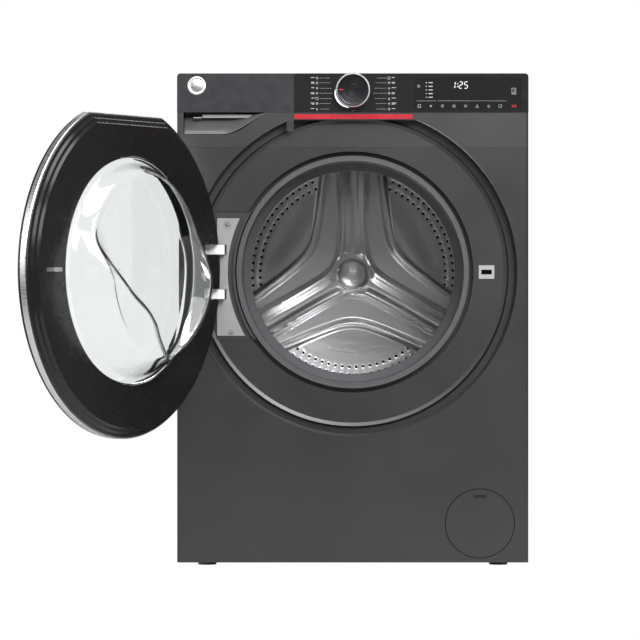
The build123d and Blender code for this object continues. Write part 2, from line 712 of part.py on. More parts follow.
def tub_front():
    r = TUB_R
    t = TUB_T
    neck = PORT_R - 1.4
    v = TUB_FRONT
    pts = ((neck, v - 12), (neck + t, v - 12), (neck + t, v), (r, v), (r, TUB_SPLIT - 10), (r + 6, TUB_SPLIT - 8),
           (r + 6, TUB_SPLIT), (r - t, TUB_SPLIT), (r - t, v + t), (neck, v + t))
    body = turned(pts)
    z = DOOR_CENTRE_H - math.sqrt(r ** 2 - DAMPER_X ** 2)
    for side in (-1, 1):
        x = side * DAMPER_X
        lug = block(x - 8, x + 8, DAMPER_V - 8, DAMPER_V + 8, z - 16, z + 16)
        body += lug - rod(0, DOOR_CENTRE_H, r - 1, DAMPER_V - 20, DAMPER_V + 20)
    spout = post(SUMP_X, SUMP_V, 19, SUMP_Z, SUMP_Z + 40)
    body += spout - rod(0, DOOR_CENTRE_H, r - t, SUMP_V - 30, SUMP_V + 30)
    return body - post(SUMP_X, SUMP_V, 16, SUMP_Z - 1, SUMP_Z + 60)


def tub_rear():
    r = TUB_R
    t = TUB_T
    v = TUB_BACK
    pts = ((r - t, TUB_SPLIT), (r + 6, TUB_SPLIT), (r + 6, TUB_SPLIT + 8), (r, TUB_SPLIT + 10), (r, v),
           (46, v), (46, v + 27), (BEARING_R, v + 27), (BEARING_R, v - 10), (46, v - 10), (46, v - t), (r - t, v - t))
    body = turned(pts)
    for k in range(12):
        a = k * 30 + 15
        fin = block(-2, 2, v - 0.5, v + 9, 48, r - 4)
        fin = Pos(0, 0, DOOR_CENTRE_H) * (Rot(0, a, 0) * fin)
        body += fin
    for side in (-1, 1):
        x = side * SPRING_X
        body += block(x - 7, x + 7, SPRING_V - 3, SPRING_V + 3, SPRING_Z0 - 34, SPRING_Z0)
        body -= rod(x, SPRING_Z0 - 8, 3.2, SPRING_V - 6, SPRING_V + 6)
    body -= rod(0, DOOR_CENTRE_H, r - t - 0.01, TUB_SPLIT - 1, v - t)
    return max(body.solids(), key=lambda s: s.volume)


# ---- drum ----------------------------------------------------------------
def drum_shell():
    r = DRUM_R
    t = DRUM_T
    f = DRUM_FRONT
    pts = ((194.5, f + 10), (194.5, f), (r, f), (r, DRUM_BACK + 1.5), (r - t, DRUM_BACK + 1.5),
           (r - t, f + t), (196, f + t), (196, f + 10))
    return turned(pts)


def drum_back():
    zc = DOOR_CENTRE_H
    r = DRUM_R - DRUM_T
    body = rod(0, zc, r, DRUM_BACK, DRUM_BACK + 1.5)
    for k in range(3):
        arm = Polyline((-34, 0), (-62, r - 30), (62, r - 30), (34, 0), close=True)
        face = fillet(make_face(arm).vertices(), 8)
        solid = Rot(90, 0, 0) * extrude(face, amount=7)
        solid = Pos(0, YF + DRUM_BACK + 0.5, 0) * solid
        body += Pos(0, 0, zc) * (Rot(0, 90 + k * 120 + 180, 0) * solid)
    body += rod(0, zc, 46, DRUM_BACK - 9, DRUM_BACK + 1)
    body += turned(((0, DRUM_BACK - 16), (20, DRUM_BACK - 15), (28.7, DRUM_BACK - 9), (28.7, DRUM_BACK), (0, DRUM_BACK)))
    holes = Part()
    pitch = 360.0 / HOLE_COUNT
    for row in HOLE_ROWS:
        for k in range(HOLE_COUNT):
            a = (k + 0.5) * pitch
            off = (a - 30) % 120
            off = min(off, 120 - off)
            if off > 38:
                continue
            x = row * math.cos(math.radians(a))
            z = row * math.sin(math.radians(a))
            holes += rod(x, zc + z, DRUM_HOLE_R, DRUM_BACK - 1, DRUM_BACK + 3)
    return body - holes


def drum_lifters():
    group = Part()
    r = DRUM_R - DRUM_T
    v0 = DRUM_FRONT + 30
    v1 = DRUM_BACK - 24
    for k in range(3):
        wedge = Polyline((-34, r - 4), (-12, r - 44), (12, r - 44), (34, r - 4), close=True)
        face = fillet(make_face(wedge).vertices().sort_by(Axis.Y)[:2], 9)
        rib = Rot(90, 0, 0) * extrude(face, amount=v1 - v0)
        rib = Pos(0, YF + v1, 0) * rib
        rib = Pos(0, 0, DOOR_CENTRE_H) * (Rot(0, 30 + k * 120, 0) * rib)
        group += rib & rod(0, DOOR_CENTRE_H, r, v0 - 1, v1 + 1)
    return group


def drum_spider():
    zc = DOOR_CENTRE_H
    v = DRUM_BACK + 1.5
    hub = rod(0, zc, 42, v, v + 9)
    for k in range(3):
        arm = block(-13, 13, v, v + 8, 20, DRUM_R - 14)
        hub += Pos(0, 0, zc) * (Rot(0, k * 120, 0) * arm)
    hub += rod(0, zc, SHAFT_R, v, BACK_V - 9)
    return hub


def drum_bearings():
    group = Part()
    for v in (TUB_BACK - 8, TUB_BACK + 11):
        ring = rod(0, DOOR_CENTRE_H, BEARING_R, v, v + 15)
        ring -= rod(0, DOOR_CENTRE_H, SHAFT_R + RUN, v - 1, v + 16)
        group += ring
    return group


def drum_pulley():
    zc = DOOR_CENTRE_H
    v = PULLEY_V
    body = turned(((PULLEY_R - 9, v), (PULLEY_R, v), (PULLEY_R, v + 12), (PULLEY_R - 9, v + 12)))
    body += rod(0, zc, 26, v, v + 12)
    for k in range(6):
        spoke = block(-9, 9, v + 3, v + 8, 20, PULLEY_R - 4)
        body += Pos(0, 0, zc) * (Rot(0, k * 60, 0) * spoke)
    body -= rod(0, zc, SHAFT_R, v - 1, v + 13)
    return body


def motor_pulley():
    return rod(MOTOR_X, MOTOR_Z, MOTOR_PULLEY_R, PULLEY_V - 1, PULLEY_V + 13)


def belt_loop(grow):
    big = Pos(0, DOOR_CENTRE_H) * Circle(PULLEY_R + grow)
    small = Pos(MOTOR_X, MOTOR_Z) * Circle(MOTOR_PULLEY_R + grow)
    return make_hull(big.edges() + small.edges())


def drive_belt():
    band = belt_loop(3.0) - belt_loop(0.0)
    return slab(band, PULLEY_V + 1, PULLEY_V + 11)


def drive_motor():
    v0 = PULLEY_V - 130
    body = rod(MOTOR_X, MOTOR_Z, MOTOR_R, v0, PULLEY_V - 18)
    body = chamfer(body.edges(), 5)
    body += rod(MOTOR_X, MOTOR_Z, 22, PULLEY_V - 19, PULLEY_V - 6)
    body += block(MOTOR_X - 12, MOTOR_X + 12, v0 + 20, v0 + 80, MOTOR_Z + MOTOR_R - 6, MOTOR_Z + MOTOR_R + 46)
    body -= rod(0, DOOR_CENTRE_H, TUB_R, v0, PULLEY_V)
    body += block(MOTOR_X - 40, MOTOR_X + 40, v0 + 20, v0 + 80, FLOOR_GAP + 30, MOTOR_Z - MOTOR_R + 8)
    body -= block(MOTOR_X - 34, MOTOR_X + 34, v0 + 10, v0 + 90, FLOOR_GAP + 25, MOTOR_Z - MOTOR_R - 4)
    return max(body.solids(), key=lambda s: s.volume)


# ---- weights, springs, dampers, water ------------------------------------
def counterweight():
    body = block(-70, 200, 150, 285, DOOR_CENTRE_H + 150, WORKTOP_Z - 26)
    body -= rod(0, DOOR_CENTRE_H, TUB_R, 100, 320)
    return max(body.solids(), key=lambda s: s.volume)


def suspension_springs():
    group = Part()
    h = SPRING_Z1 - SPRING_Z0 - 16
    for side in (-1, 1):
        coil = Helix(pitch=h / 14, height=h, radius=9.5)
        wire = sweep(Plane(origin=coil @ 0, z_dir=coil % 0) * Circle(1.6), path=coil, is_frenet=True)
        group += Pos(side * SPRING_X, YF + SPRING_V, SPRING_Z0 + 8) * wire
    return group


def dampers():
    group = Part()
    for side in (-1, 1):
        x = side * DAMPER_X
        tube = post(x, DAMPER_V, 14, FLOOR_GAP + 14, FLOOR_GAP + 150)
        tube = chamfer(tube.edges(), 1.5)
        tube += post(x, DAMPER_V, 8, FLOOR_GAP + 148, DAMPER_TOP)
        tube += block(x - 9, x + 9, DAMPER_V - 9, DAMPER_V + 9, FLOOR_GAP + 3, FLOOR_GAP + 16)
        group += tube
    return group


def drain_pump():
    x = FILTER_X
    z = FILTER_Z
    body = rod(x, z, 33, 24, 120) - rod(x, z, 28, 20, 112)
    body += rod(x, z, 29, 119, 178)
    body += post(x, 90, 19, z + 26, z + HOSE_END) - rod(x, z, 29, 60, 118)
    body += block(x - 20, x + 20, 60, 110, FLOOR_GAP + 3, z - 30)
    return max(body.solids(), key=lambda s: s.volume)


def filter_plug():
    x = FILTER_X
    z = FILTER_Z
    body = rod(x, z, 27.6, 22, 40) + rod(x, z, 32, 16, 23.7)
    body += block(x - 5, x + 5, 7, 17, z - 24, z + 24)
    body += rod(x, z, 20, 39, 96)
    body -= rod(x, z, 17, 44, 97)
    for k in range(3):
        bar = block(-24, 24, 50, 90, -4, 4)
        body -= Pos(x, 0, z) * (Rot(0, k * 60, 0) * bar)
    return max(body.solids(), key=lambda s: s.volume)


def filter_flap():
    """Round flap with a coin slot that tips out on a bar near its lower edge."""
    x = FILTER_X
    z = FILTER_Z
    plate = rod(x, z, FILTER_R - FLAP_SEAM, 0, PANEL_T)
    plate -= block(x - 11.2, x + 11.2, -1, 1.3, z + 43.6, z + 48.4)
    return plate + cross_bar(FLAP_PIN_R, 70)


def sump_hose():
    start = (SUMP_X, YF + SUMP_V, SUMP_Z)
    end = (FILTER_X, YF + 90, FILTER_Z + HOSE_END)
    path = Spline(start, end, tangents=((0, 0, -1), (0, 0, -1)), tangent_scalars=(1.2, 1.2))
    ring = Plane(origin=start, z_dir=(0, 0, -1)) * (Circle(19) - Circle(16))
    return sweep(ring, path=path)


def water_inlet_valve():
    body = block(INLET_X - 22, INLET_X + 22, BACK_V - 60, BACK_V - 2 * SHEET - 1, INLET_Z - 20, INLET_Z + 24)
    spigot = rod(INLET_X, INLET_Z, 13.2, BACK_V - 4, BACK_V + 24)
    body += spigot
    body -= rod(INLET_X, INLET_Z, 8, BACK_V - 8, BACK_V + 25)
    body += post(INLET_X, BACK_V - 30, 15, INLET_Z + 20, INLET_Z + 36)
    return body


def drain_outlet():
    body = rod(OUTLET_X, OUTLET_Z, 10.5, BACK_V - 14, BACK_V + 24)
    body += rod(OUTLET_X, OUTLET_Z, 18, BACK_V, BACK_V + 3)
    body -= rod(OUTLET_X, OUTLET_Z, 8, BACK_V - 15, BACK_V + 25)
    return body


def mains_gland():
    body = rod(MAINS_X, MAINS_Z, 10.8, BACK_V - 8, BACK_V + 1)
    body += rod(MAINS_X, MAINS_Z, 16, BACK_V, BACK_V + 4)
    body += rod(MAINS_X, MAINS_Z, 8, BACK_V + 3, BACK_V + 20)
    body -= rod(MAINS_X, MAINS_Z, 4, BACK_V - 9, BACK_V + 21)
    return body


# ---- write every part ----------------------------------------------------
def main():
    os.makedirs("parts", exist_ok=True)
    fixed = {
        "front_panel": front_panel, "upper_front_trim": upper_front_trim,
        "red_accent_strip": red_accent_strip, "rear_panel": rear_panel,
        "rear_service_cover": rear_service_cover, "transit_bolt_caps": transit_caps,
        "worktop": worktop, "base_tray": base_tray,
        "control_panel": control_panel, "display_window": display_window,
        "programme_knob": programme_knob, "knob_trim_ring": knob_trim_ring,
        "knob_light_ring": knob_light_ring,
        "drawer_front": drawer_front, "drawer_tray": drawer_tray, "siphon_cap": siphon_cap,
        "dispenser_housing": dispenser_housing, "hinge_bezel": hinge_bezel,
        "hinge_plate": hinge_plate, "hinge_screws": hinge_screws, "hinge_arms": hinge_arms,
        "lock_plate": lock_plate, "door_lock": door_lock, "gasket": gasket,
        "tub_front": tub_front, "tub_rear": tub_rear, "drum_shell": drum_shell,
        "drum_back": drum_back, "drum_lifters": drum_lifters, "drum_spider": drum_spider,
        "drum_bearings": drum_bearings, "drum_pulley": drum_pulley,
        "motor_pulley": motor_pulley, "drive_belt": drive_belt, "drive_motor": drive_motor,
        "counterweight": counterweight, "suspension_springs": suspension_springs,
        "dampers": dampers, "drain_pump": drain_pump,
        "filter_plug": filter_plug, "filter_flap": filter_flap,
        "sump_hose": sump_hose, "water_inlet_valve": water_inlet_valve,
        "drain_outlet": drain_outlet, "mains_gland": mains_gland,
    }
    door = {
        "door_inner_frame": door_inner_frame, "door_rim": door_rim, "door_cover": door_cover,
        "door_window": door_window, "door_glass": door_glass, "door_hook": door_hook,
        "hinge_pin": hinge_pin, "door_screws": door_screws,
    }
    for name, make in fixed.items():
        save(make(), name)
    for name, make in door.items():
        save(as_opened(make()), name)
    save(side_panel(-1), "side_panel_left")
    save(side_panel(1), "side_panel_right")
    save(top_brace(SPRING_V - 12, SPRING_V + 12), "top_brace")
    for side, side_name in ((-1, "left"), (1, "right")):
        for v, end_name in ((FOOT_V, "front"), (BACK_V - FOOT_V, "rear")):
            save(foot(side, v), "foot_" + end_name + "_" + side_name)


main()
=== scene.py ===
import json
import math
import random

import bmesh
import bpy
from mathutils import Matrix, Vector


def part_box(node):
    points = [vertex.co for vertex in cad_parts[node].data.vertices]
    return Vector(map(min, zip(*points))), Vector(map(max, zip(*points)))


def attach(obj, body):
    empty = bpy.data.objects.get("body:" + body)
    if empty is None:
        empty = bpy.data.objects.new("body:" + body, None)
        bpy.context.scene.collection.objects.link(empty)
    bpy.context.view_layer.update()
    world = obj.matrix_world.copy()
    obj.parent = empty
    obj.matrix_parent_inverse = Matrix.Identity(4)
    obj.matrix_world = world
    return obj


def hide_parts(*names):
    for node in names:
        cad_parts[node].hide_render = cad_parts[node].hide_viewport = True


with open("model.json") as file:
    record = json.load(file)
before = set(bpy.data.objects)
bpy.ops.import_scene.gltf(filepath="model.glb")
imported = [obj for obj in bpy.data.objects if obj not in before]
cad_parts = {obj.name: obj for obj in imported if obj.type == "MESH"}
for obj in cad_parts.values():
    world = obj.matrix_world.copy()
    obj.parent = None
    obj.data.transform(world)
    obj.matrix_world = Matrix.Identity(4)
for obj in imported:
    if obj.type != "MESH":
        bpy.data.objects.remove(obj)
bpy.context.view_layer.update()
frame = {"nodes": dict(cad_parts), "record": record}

MM = 0.001
NODES = frame["nodes"]
JOINTS = {j["name"]: j for j in frame["record"]["behaviour"]["joints"]}

# ---- places read from the frame, in metres --------------------------------
FRONT_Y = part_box("front_panel")[0][1]
PANEL_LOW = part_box("control_panel")[0]
DRAWER_LOW, DRAWER_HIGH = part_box("drawer_front")
TOP_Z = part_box("worktop")[1][2]
DRUM_LOW, DRUM_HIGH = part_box("drum_shell")
DOOR_Z = (DRUM_LOW[2] + DRUM_HIGH[2]) / 2
DRUM_R = (DRUM_HIGH[0] - DRUM_LOW[0]) / 2
DRUM_BACK_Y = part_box("drum_back")[1][1]
KNOB_LOW, KNOB_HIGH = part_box("programme_knob")
KNOB_X = (KNOB_LOW[0] + KNOB_HIGH[0]) / 2
KNOB_Z = (KNOB_LOW[2] + KNOB_HIGH[2]) / 2
DOOR_PIVOT = Vector(JOINTS["door_hinge"]["pos_m"])
DOOR_ANGLE = math.radians(JOINTS["door_hinge"]["range_deg"][0])
AXIS_R = 0.00005                # a turned profile stops this short of its axis


# ---- small mesh tools -------------------------------------------------------
def link(name, mesh, material, body, smooth=True, angle=40):
    """Makes an object from a mesh, gives it a finish and hangs it on a body."""
    obj = bpy.data.objects.new(name, mesh)
    bpy.context.collection.objects.link(obj)
    if material:
        mesh.materials.append(material)
    if smooth:
        mesh.shade_smooth()
        if angle < 180:
            mesh.set_sharp_from_angle(angle=math.radians(angle))
    if body:
        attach(obj, body)
    return obj


def mesh_from(name, verts, faces):
    """A mesh from its points and faces."""
    mesh = bpy.data.meshes.new(name)
    mesh.from_pydata(verts, [], faces)
    mesh.update()
    return mesh


def front(x, v, z):
    """A point from x and z in metres and v, the depth behind the front plane, in mm."""
    return (x, FRONT_Y + v * MM, z)


def turned(profile, centre, steps):
    """Vertices and faces of a closed profile of (radius, y) turned about a line along Y."""
    verts = []
    for k in range(steps):
        a = 2 * math.pi * k / steps
        for r, y in profile:
            verts.append((centre[0] + r * math.cos(a), y, centre[1] + r * math.sin(a)))
    n = len(profile)
    faces = []
    for k in range(steps):
        k2 = (k + 1) % steps
        for i in range(n):
            j = (i + 1) % n
            faces.append((k * n + i, k * n + j, k2 * n + j, k2 * n + i))
    return verts, faces


def fix_normals(mesh, weld=1e-7):
    """Welds points closer than weld, if it isn't 0, and turns every face outward."""
    bm = bmesh.new()
    bm.from_mesh(mesh)
    if weld:
        bmesh.ops.remove_doubles(bm, verts=bm.verts, dist=weld)
    bmesh.ops.recalc_face_normals(bm, faces=bm.faces)
    bm.to_mesh(mesh)
    bm.free()


def prism_mesh(name, outlines, v0, v1):
    """Thin raised shapes: each outline of (x, z) in metres runs from depth v0 to v1 in mm."""
    verts = []
    faces = []
    for outline in outlines:
        base = len(verts)
        n = len(outline)
        verts += [front(x, v0, z) for x, z in outline]
        verts += [front(x, v1, z) for x, z in outline]
        faces.append(tuple(base + i for i in range(n)))
        faces.append(tuple(base + n + i for i in reversed(range(n))))
        for i in range(n):
            j = (i + 1) % n
            faces.append((base + i, base + n + i, base + n + j, base + j))
    mesh = mesh_from(name, verts, faces)
    fix_normals(mesh, weld=0)
    return mesh


def bevelled(obj, width, segments=3, angle=35):
    """Rounds an object's sharp edges without changing its mesh."""
    mod = obj.modifiers.new("edge_round", "BEVEL")
    mod.width = width
    mod.segments = segments
    mod.limit_method = "ANGLE"
    mod.angle_limit = math.radians(angle)
    mod.harden_normals = False
    return obj


def from_closed(mesh):
    """Turns a door piece's mesh, drawn at the shut position, to where the door rests."""
    turn = Matrix.Rotation(DOOR_ANGLE, 4, "Z")
    move = Matrix.Translation(DOOR_PIVOT) @ turn @ Matrix.Translation(-DOOR_PIVOT)
    mesh.transform(move)


# ---- materials ---------------------------------------------------------------
MIX_FACTOR, MIX_A, MIX_B = 0, 6, 7     # sockets of a Mix node set to colours
MIX_RESULT = 2


def finish(obj, material):
    """Gives an object one material in place of what it had."""
    obj.data.materials.clear()
    obj.data.materials.append(material)


def shader(name, base, rough, metal=0.0, **sockets):
    """A Principled material; further sockets are named with _ for each space."""
    material = bpy.data.materials.new(name)
    material.use_nodes = True
    bsdf = material.node_tree.nodes["Principled BSDF"]
    bsdf.inputs["Base Color"].default_value = (*base, 1)
    bsdf.inputs["Roughness"].default_value = rough
    bsdf.inputs["Metallic"].default_value = metal
    for key, value in sockets.items():
        bsdf.inputs[key.replace("_", " ")].default_value = value
    return material, bsdf


def noise(material, scale, detail=3.0, stretch=(1, 1, 1)):
    """A noise pattern in object space, stretched along the axes."""
    tree = material.node_tree
    coord = tree.nodes.new("ShaderNodeTexCoord")
    mapping = tree.nodes.new("ShaderNodeMapping")
    mapping.inputs["Scale"].default_value = stretch
    tree.links.new(coord.outputs["Object"], mapping.inputs["Vector"])
    tex = tree.nodes.new("ShaderNodeTexNoise")
    tex.inputs["Scale"].default_value = scale
    tex.inputs["Detail"].default_value = detail
    tree.links.new(mapping.outputs["Vector"], tex.inputs["Vector"])
    return tex.outputs["Fac"]


def add_bump(material, bsdf, height, strength, distance):
    """Bumps the surface by a pattern, distance in metres."""
    bump = material.node_tree.nodes.new("ShaderNodeBump")
    bump.inputs["Strength"].default_value = strength
    bump.inputs["Distance"].default_value = distance
    material.node_tree.links.new(height, bump.inputs["Height"])
    material.node_tree.links.new(bump.outputs["Normal"], bsdf.inputs["Normal"])


def vary(material, bsdf, value, socket, low, high):
    """Drives a shader socket between two numbers or colours by a pattern."""
    tree = material.node_tree
    if isinstance(low, tuple):
        ramp = tree.nodes.new("ShaderNodeMix")
        ramp.data_type = "RGBA"
        ramp.inputs[MIX_A].default_value = (*low, 1)
        ramp.inputs[MIX_B].default_value = (*high, 1)
        tree.links.new(value, ramp.inputs[MIX_FACTOR])
        tree.links.new(ramp.outputs[MIX_RESULT], bsdf.inputs[socket])
        return
    ramp = tree.nodes.new("ShaderNodeMapRange")
    ramp.inputs["From Min"].default_value = 0.3
    ramp.inputs["From Max"].default_value = 0.7
    ramp.inputs["To Min"].default_value = low
    ramp.inputs["To Max"].default_value = high
    tree.links.new(value, ramp.inputs["Value"])
    tree.links.new(ramp.outputs["Result"], bsdf.inputs[socket])


def paint(name, dark, light, rough=0.34, metal=0.6):
    """Metallic graphite enamel: fine flake in the colour and a faint orange peel."""
    material, bsdf = shader(name, dark, rough, metal, Coat_Weight=0.25, Coat_Roughness=0.25)
    vary(material, bsdf, noise(material, 2600, 2), "Base Color", dark, light)
    vary(material, bsdf, noise(material, 9, 3), "Roughness", rough - 0.04, rough + 0.04)
    add_bump(material, bsdf, noise(material, 420, 3), 0.06, 0.0003)
    return material


def moulded(name, base, rough=0.45, grain=900, strength=0.12, **more):
    """Moulded plastic or rubber: a fine spark-eroded grain and uneven gloss."""
    material, bsdf = shader(name, base, rough, 0.0, **more)
    lighter = tuple(min(1.0, c * 1.18 + 0.002) for c in base)
    vary(material, bsdf, noise(material, 35, 4), "Base Color", base, lighter)
    vary(material, bsdf, noise(material, 60, 4), "Roughness", rough - 0.05, rough + 0.06)
    add_bump(material, bsdf, noise(material, grain, 3), strength, 0.0004)
    return material


def metal(name, base, rough=0.25, stretch=(1, 1, 40), grain=60, strength=0.05, tint=0.82):
    """Brushed metal: long fine scratches in the roughness, colour and bump."""
    material, bsdf = shader(name, base, rough, 1.0)
    lines = noise(material, grain, 6, stretch)
    darker = tuple(c * tint for c in base)
    vary(material, bsdf, lines, "Base Color", darker, base)
    vary(material, bsdf, lines, "Roughness", rough * 0.7, rough * 1.35)
    add_bump(material, bsdf, lines, strength, 0.0005)
    return material


def spun(name, base, rough, strength, scale=900.0, centre=(0.0, 0.0), tint=0.75):
    """Metal turned about a line along Y: fine rings round the centre."""
    material, bsdf = shader(name, base, rough, 1.0)
    tree = material.node_tree
    coord = tree.nodes.new("ShaderNodeTexCoord")
    mapping = tree.nodes.new("ShaderNodeMapping")
    mapping.inputs["Location"].default_value = (-centre[0], 0, -centre[1])
    mapping.inputs["Scale"].default_value = (1, 0, 1)
    tree.links.new(coord.outputs["Object"], mapping.inputs["Vector"])
    length = tree.nodes.new("ShaderNodeVectorMath")
    length.operation = "LENGTH"
    tree.links.new(mapping.outputs["Vector"], length.inputs[0])
    tex = tree.nodes.new("ShaderNodeTexNoise")
    tex.noise_dimensions = "1D"
    tex.inputs["Scale"].default_value = scale
    tex.inputs["Detail"].default_value = 4
    tree.links.new(length.outputs["Value"], tex.inputs["W"])
    darker = tuple(c * tint for c in base)
    vary(material, bsdf, tex.outputs["Fac"], "Base Color", darker, base)
    vary(material, bsdf, tex.outputs["Fac"], "Roughness", rough * 0.85, rough * 1.15)
    add_bump(material, bsdf, tex.outputs["Fac"], strength, 0.0003)
    return material


def clear(name, tint, rough=0.015):
    """Clear moulded glass with a faint ripple."""
    material, bsdf = shader(name, tint, rough, 0.0, Transmission_Weight=1.0, IOR=1.47)
    add_bump(material, bsdf, noise(material, 14, 2), 0.05, 0.001)
    return material


def glow(name, colour, strength):
    """A printed or lit mark: its own light with a slightly uneven face; on printed marks this light is a
    painted glow.
    """
    material, bsdf = shader(name, colour, 0.35)
    bsdf.inputs["Emission Color"].default_value = (*colour, 1)
    bsdf.inputs["Emission Strength"].default_value = strength
    vary(material, bsdf, noise(material, 800, 2), "Roughness", 0.3, 0.45)
    return material


GRAPHITE = (0.046, 0.046, 0.0475)
GRAPHITE_LIGHT = (0.074, 0.074, 0.0765)
PAINT = paint("graphite_paint", GRAPHITE, GRAPHITE_LIGHT)
TRIM = paint("graphite_trim", GRAPHITE, GRAPHITE_LIGHT, 0.36, 0.5)
DARK_PLASTIC = moulded("dark_plastic", (0.036, 0.036, 0.0375), 0.38)
SATIN = moulded("grip_satin", (0.085, 0.085, 0.088), 0.2, 1200, 0.02, Coat_Weight=0.4, Coat_Roughness=0.12)
DRAWER = moulded("drawer_front_plastic", (0.022, 0.022, 0.026), 0.34, 1500, 0.08)
FASCIA = moulded("fascia_black", (0.013, 0.012, 0.0125), 0.14, 1200, 0.02,
                 Coat_Weight=0.6, Coat_Roughness=0.06)
WINDOW = moulded("display_black", (0.009, 0.009, 0.010), 0.10, 1500, 0.015,
                 Coat_Weight=0.8, Coat_Roughness=0.03)
RED = moulded("red_plastic", (0.42, 0.014, 0.026), 0.28, 900, 0.03, Coat_Weight=0.4)
BLACK = moulded("black_plastic", (0.007, 0.007, 0.0075), 0.32, 900, 0.05)
GLOSS_BLACK = moulded("door_black", (0.007, 0.007, 0.0075), 0.24, 700, 0.02,
                      Coat_Weight=0.15, Coat_Roughness=0.12)
GREY = moulded("grey_plastic", (0.30, 0.30, 0.31), 0.5)
PALE = moulded("pale_plastic", (0.34, 0.34, 0.345), 0.4)
WHITE = moulded("white_plastic", (0.78, 0.78, 0.77), 0.42)
BLUE = moulded("blue_plastic", (0.05, 0.16, 0.45), 0.4)
RUBBER = moulded("gasket_rubber", (0.075, 0.076, 0.080), 0.42, 500, 0.10)
TYRE = moulded("black_rubber", (0.015, 0.015, 0.015), 0.65, 600, 0.25)
TUB = moulded("tub_plastic", (0.42, 0.43, 0.45), 0.6, 300, 0.2)
CONCRETE = moulded("concrete", (0.40, 0.39, 0.36), 0.9, 160, 0.7)
CHROME = metal("chrome", (0.86, 0.87, 0.88), 0.32, (1, 1, 30), 40, 0.01, 0.95)
ZINC = moulded("galvanised", (0.33, 0.33, 0.335), 0.38, 260, 0.08, Metallic=0.3)
CAST = metal("cast_aluminium", (0.50, 0.50, 0.51), 0.5, (1, 1, 1), 260, 0.25, 0.8)
SPRING = metal("spring_steel", (0.35, 0.35, 0.37), 0.35, (1, 1, 1), 300, 0.1, 0.8)
ARM_STEEL = moulded("pale_steel", (0.80, 0.80, 0.80), 0.35, 300, 0.05)
STAINLESS = metal("stainless", (0.60, 0.60, 0.61), 0.24, (1, 30, 1), 60, 0.03, 0.85)
# painted shade for the holes' walls and the caps that close them
PAINTED_HOLE_SHADE = moulded("painted_hole_shade", (0.004, 0.004, 0.004), 0.7, 900, 0.05)
DRUM_STEEL = spun("drum_steel", (0.86, 0.86, 0.87), 0.33, 0.006, 300.0, (0.0, DOOR_Z), 0.93)
SATIN_STEEL = metal("satin_steel", (0.93, 0.93, 0.94), 0.42, (1, 1, 1), 500, 0.01, 0.96)
SILVER = metal("satin_silver", (0.80, 0.80, 0.81), 0.5, (1, 1, 1), 300, 0.02, 0.95)
KNOB_FACE = spun("knob_face", (0.055, 0.055, 0.06), 0.26, 0.25, 1400.0, (KNOB_X, KNOB_Z))
GLASS = clear("door_glass", (0.97, 0.985, 0.985))
PANE = clear("door_pane", (0.98, 0.99, 0.99), 0.01)
# white glow: a lamp in the display's figures, a painted highlight in the crescent beside the knob
LED_AND_HIGHLIGHT_WHITE = glow("led_and_painted_highlight_white", (0.85, 0.87, 0.90), 0.9)
# grey and red print with a faint glow of their own: painted light on the print's real colour
GLOWING_PRINT_GREY = glow("glowing_print_grey", (0.50, 0.50, 0.52), 0.12)
GLOWING_PRINT_RED = glow("glowing_print_red", (0.62, 0.03, 0.05), 0.25)

FINISH = {
    PAINT: ("front_panel", "side_panel_left", "side_panel_right", "rear_panel", "filter_flap"),
    TRIM: ("upper_front_trim",),
    DARK_PLASTIC: ("worktop", "hinge_bezel", "base_tray", "rear_service_cover"),
    DRAWER: ("drawer_front",),
    FASCIA: ("control_panel",),
    WINDOW: ("display_window",),
    RED: ("red_accent_strip",),
    BLACK: ("door_cover", "door_screws", "mains_gland", "transit_bolt_caps", "door_lock"),
    GLOSS_BLACK: ("door_inner_frame",),
    GREY: ("drawer_tray", "dispenser_housing", "drum_lifters", "drain_pump", "drain_outlet", "dampers"),
    PALE: ("lock_plate", "foot_front_left", "foot_front_right", "foot_rear_left", "foot_rear_right"),
    WHITE: ("filter_plug", "water_inlet_valve"),
    BLUE: ("siphon_cap",),
    RUBBER: ("gasket",),
    TYRE: ("drive_belt", "sump_hose"),
    TUB: ("tub_front", "tub_rear"),
    CONCRETE: ("counterweight",),
    CHROME: ("door_rim", "knob_trim_ring"),
    ZINC: ("hinge_plate", "hinge_screws", "hinge_pin", "door_hook", "motor_pulley", "top_brace"),
    CAST: ("drive_motor", "drum_spider", "drum_pulley"),
    SPRING: ("suspension_springs", "drum_bearings"),
    ARM_STEEL: ("hinge_arms",),
    STAINLESS: ("drum_shell",),
    PANE: ("door_window",),
}
for coating, node_names in FINISH.items():
    for node_name in node_names:
        finish(NODES[node_name], coating)
for node_name in ("drawer_front", "control_panel", "lock_plate", "hinge_arms", "worktop", "hinge_bezel"):
    bevelled(NODES[node_name], 0.5 * MM, 2)


# ---- drum back: pressed star and two rows of holes, in mm and degrees ---------
HOLE_COUNT = 84                 # places for a hole round the full circle
HOLE_R = 2.7
HOLE_RINGS = ((1.3, 0.0), (1.0, 0.25), (0.98, 1.6))     # share of HOLE_R and depth, collar to floor
ROW_STEP = 14.0
ROWS_FROM = 165.0
ROWS = 2
SUB = 4                         # grid steps across one hole's place
SECTOR_MIDS = (30.0, 150.0, 270.0)
SECTOR_HALF = 38.0              # holes reach this far to each side of a sector's middle
BACK_R = DRUM_R / MM - 2.5
SHEET_FORWARD = 2.0             # the plain sheet stands this far in front of its node's back
CENTRE_R = 0.5
INNER_RINGS = 70
INNER_RING_STEP = 2.35
OUTER_RING_STEP = 2.2
SECTOR_EDGE = (93, 16.5, 0.46, 0.908)      # start, corner radius, spread and slant of the raised ridge
ARM_EDGE = (38, 14, 0.6, 0.857)            # the same for the edge of the arms between the sectors
RIDGE_RISE = 6.5
VALLEY_SINK = 4.0
ARM_RISE = 9.0
ARM_LIP_RISE = 2.2
TROUGH_SINK = 5.0
DISH_SINK = 2.0
RIM_RISE = 13.0
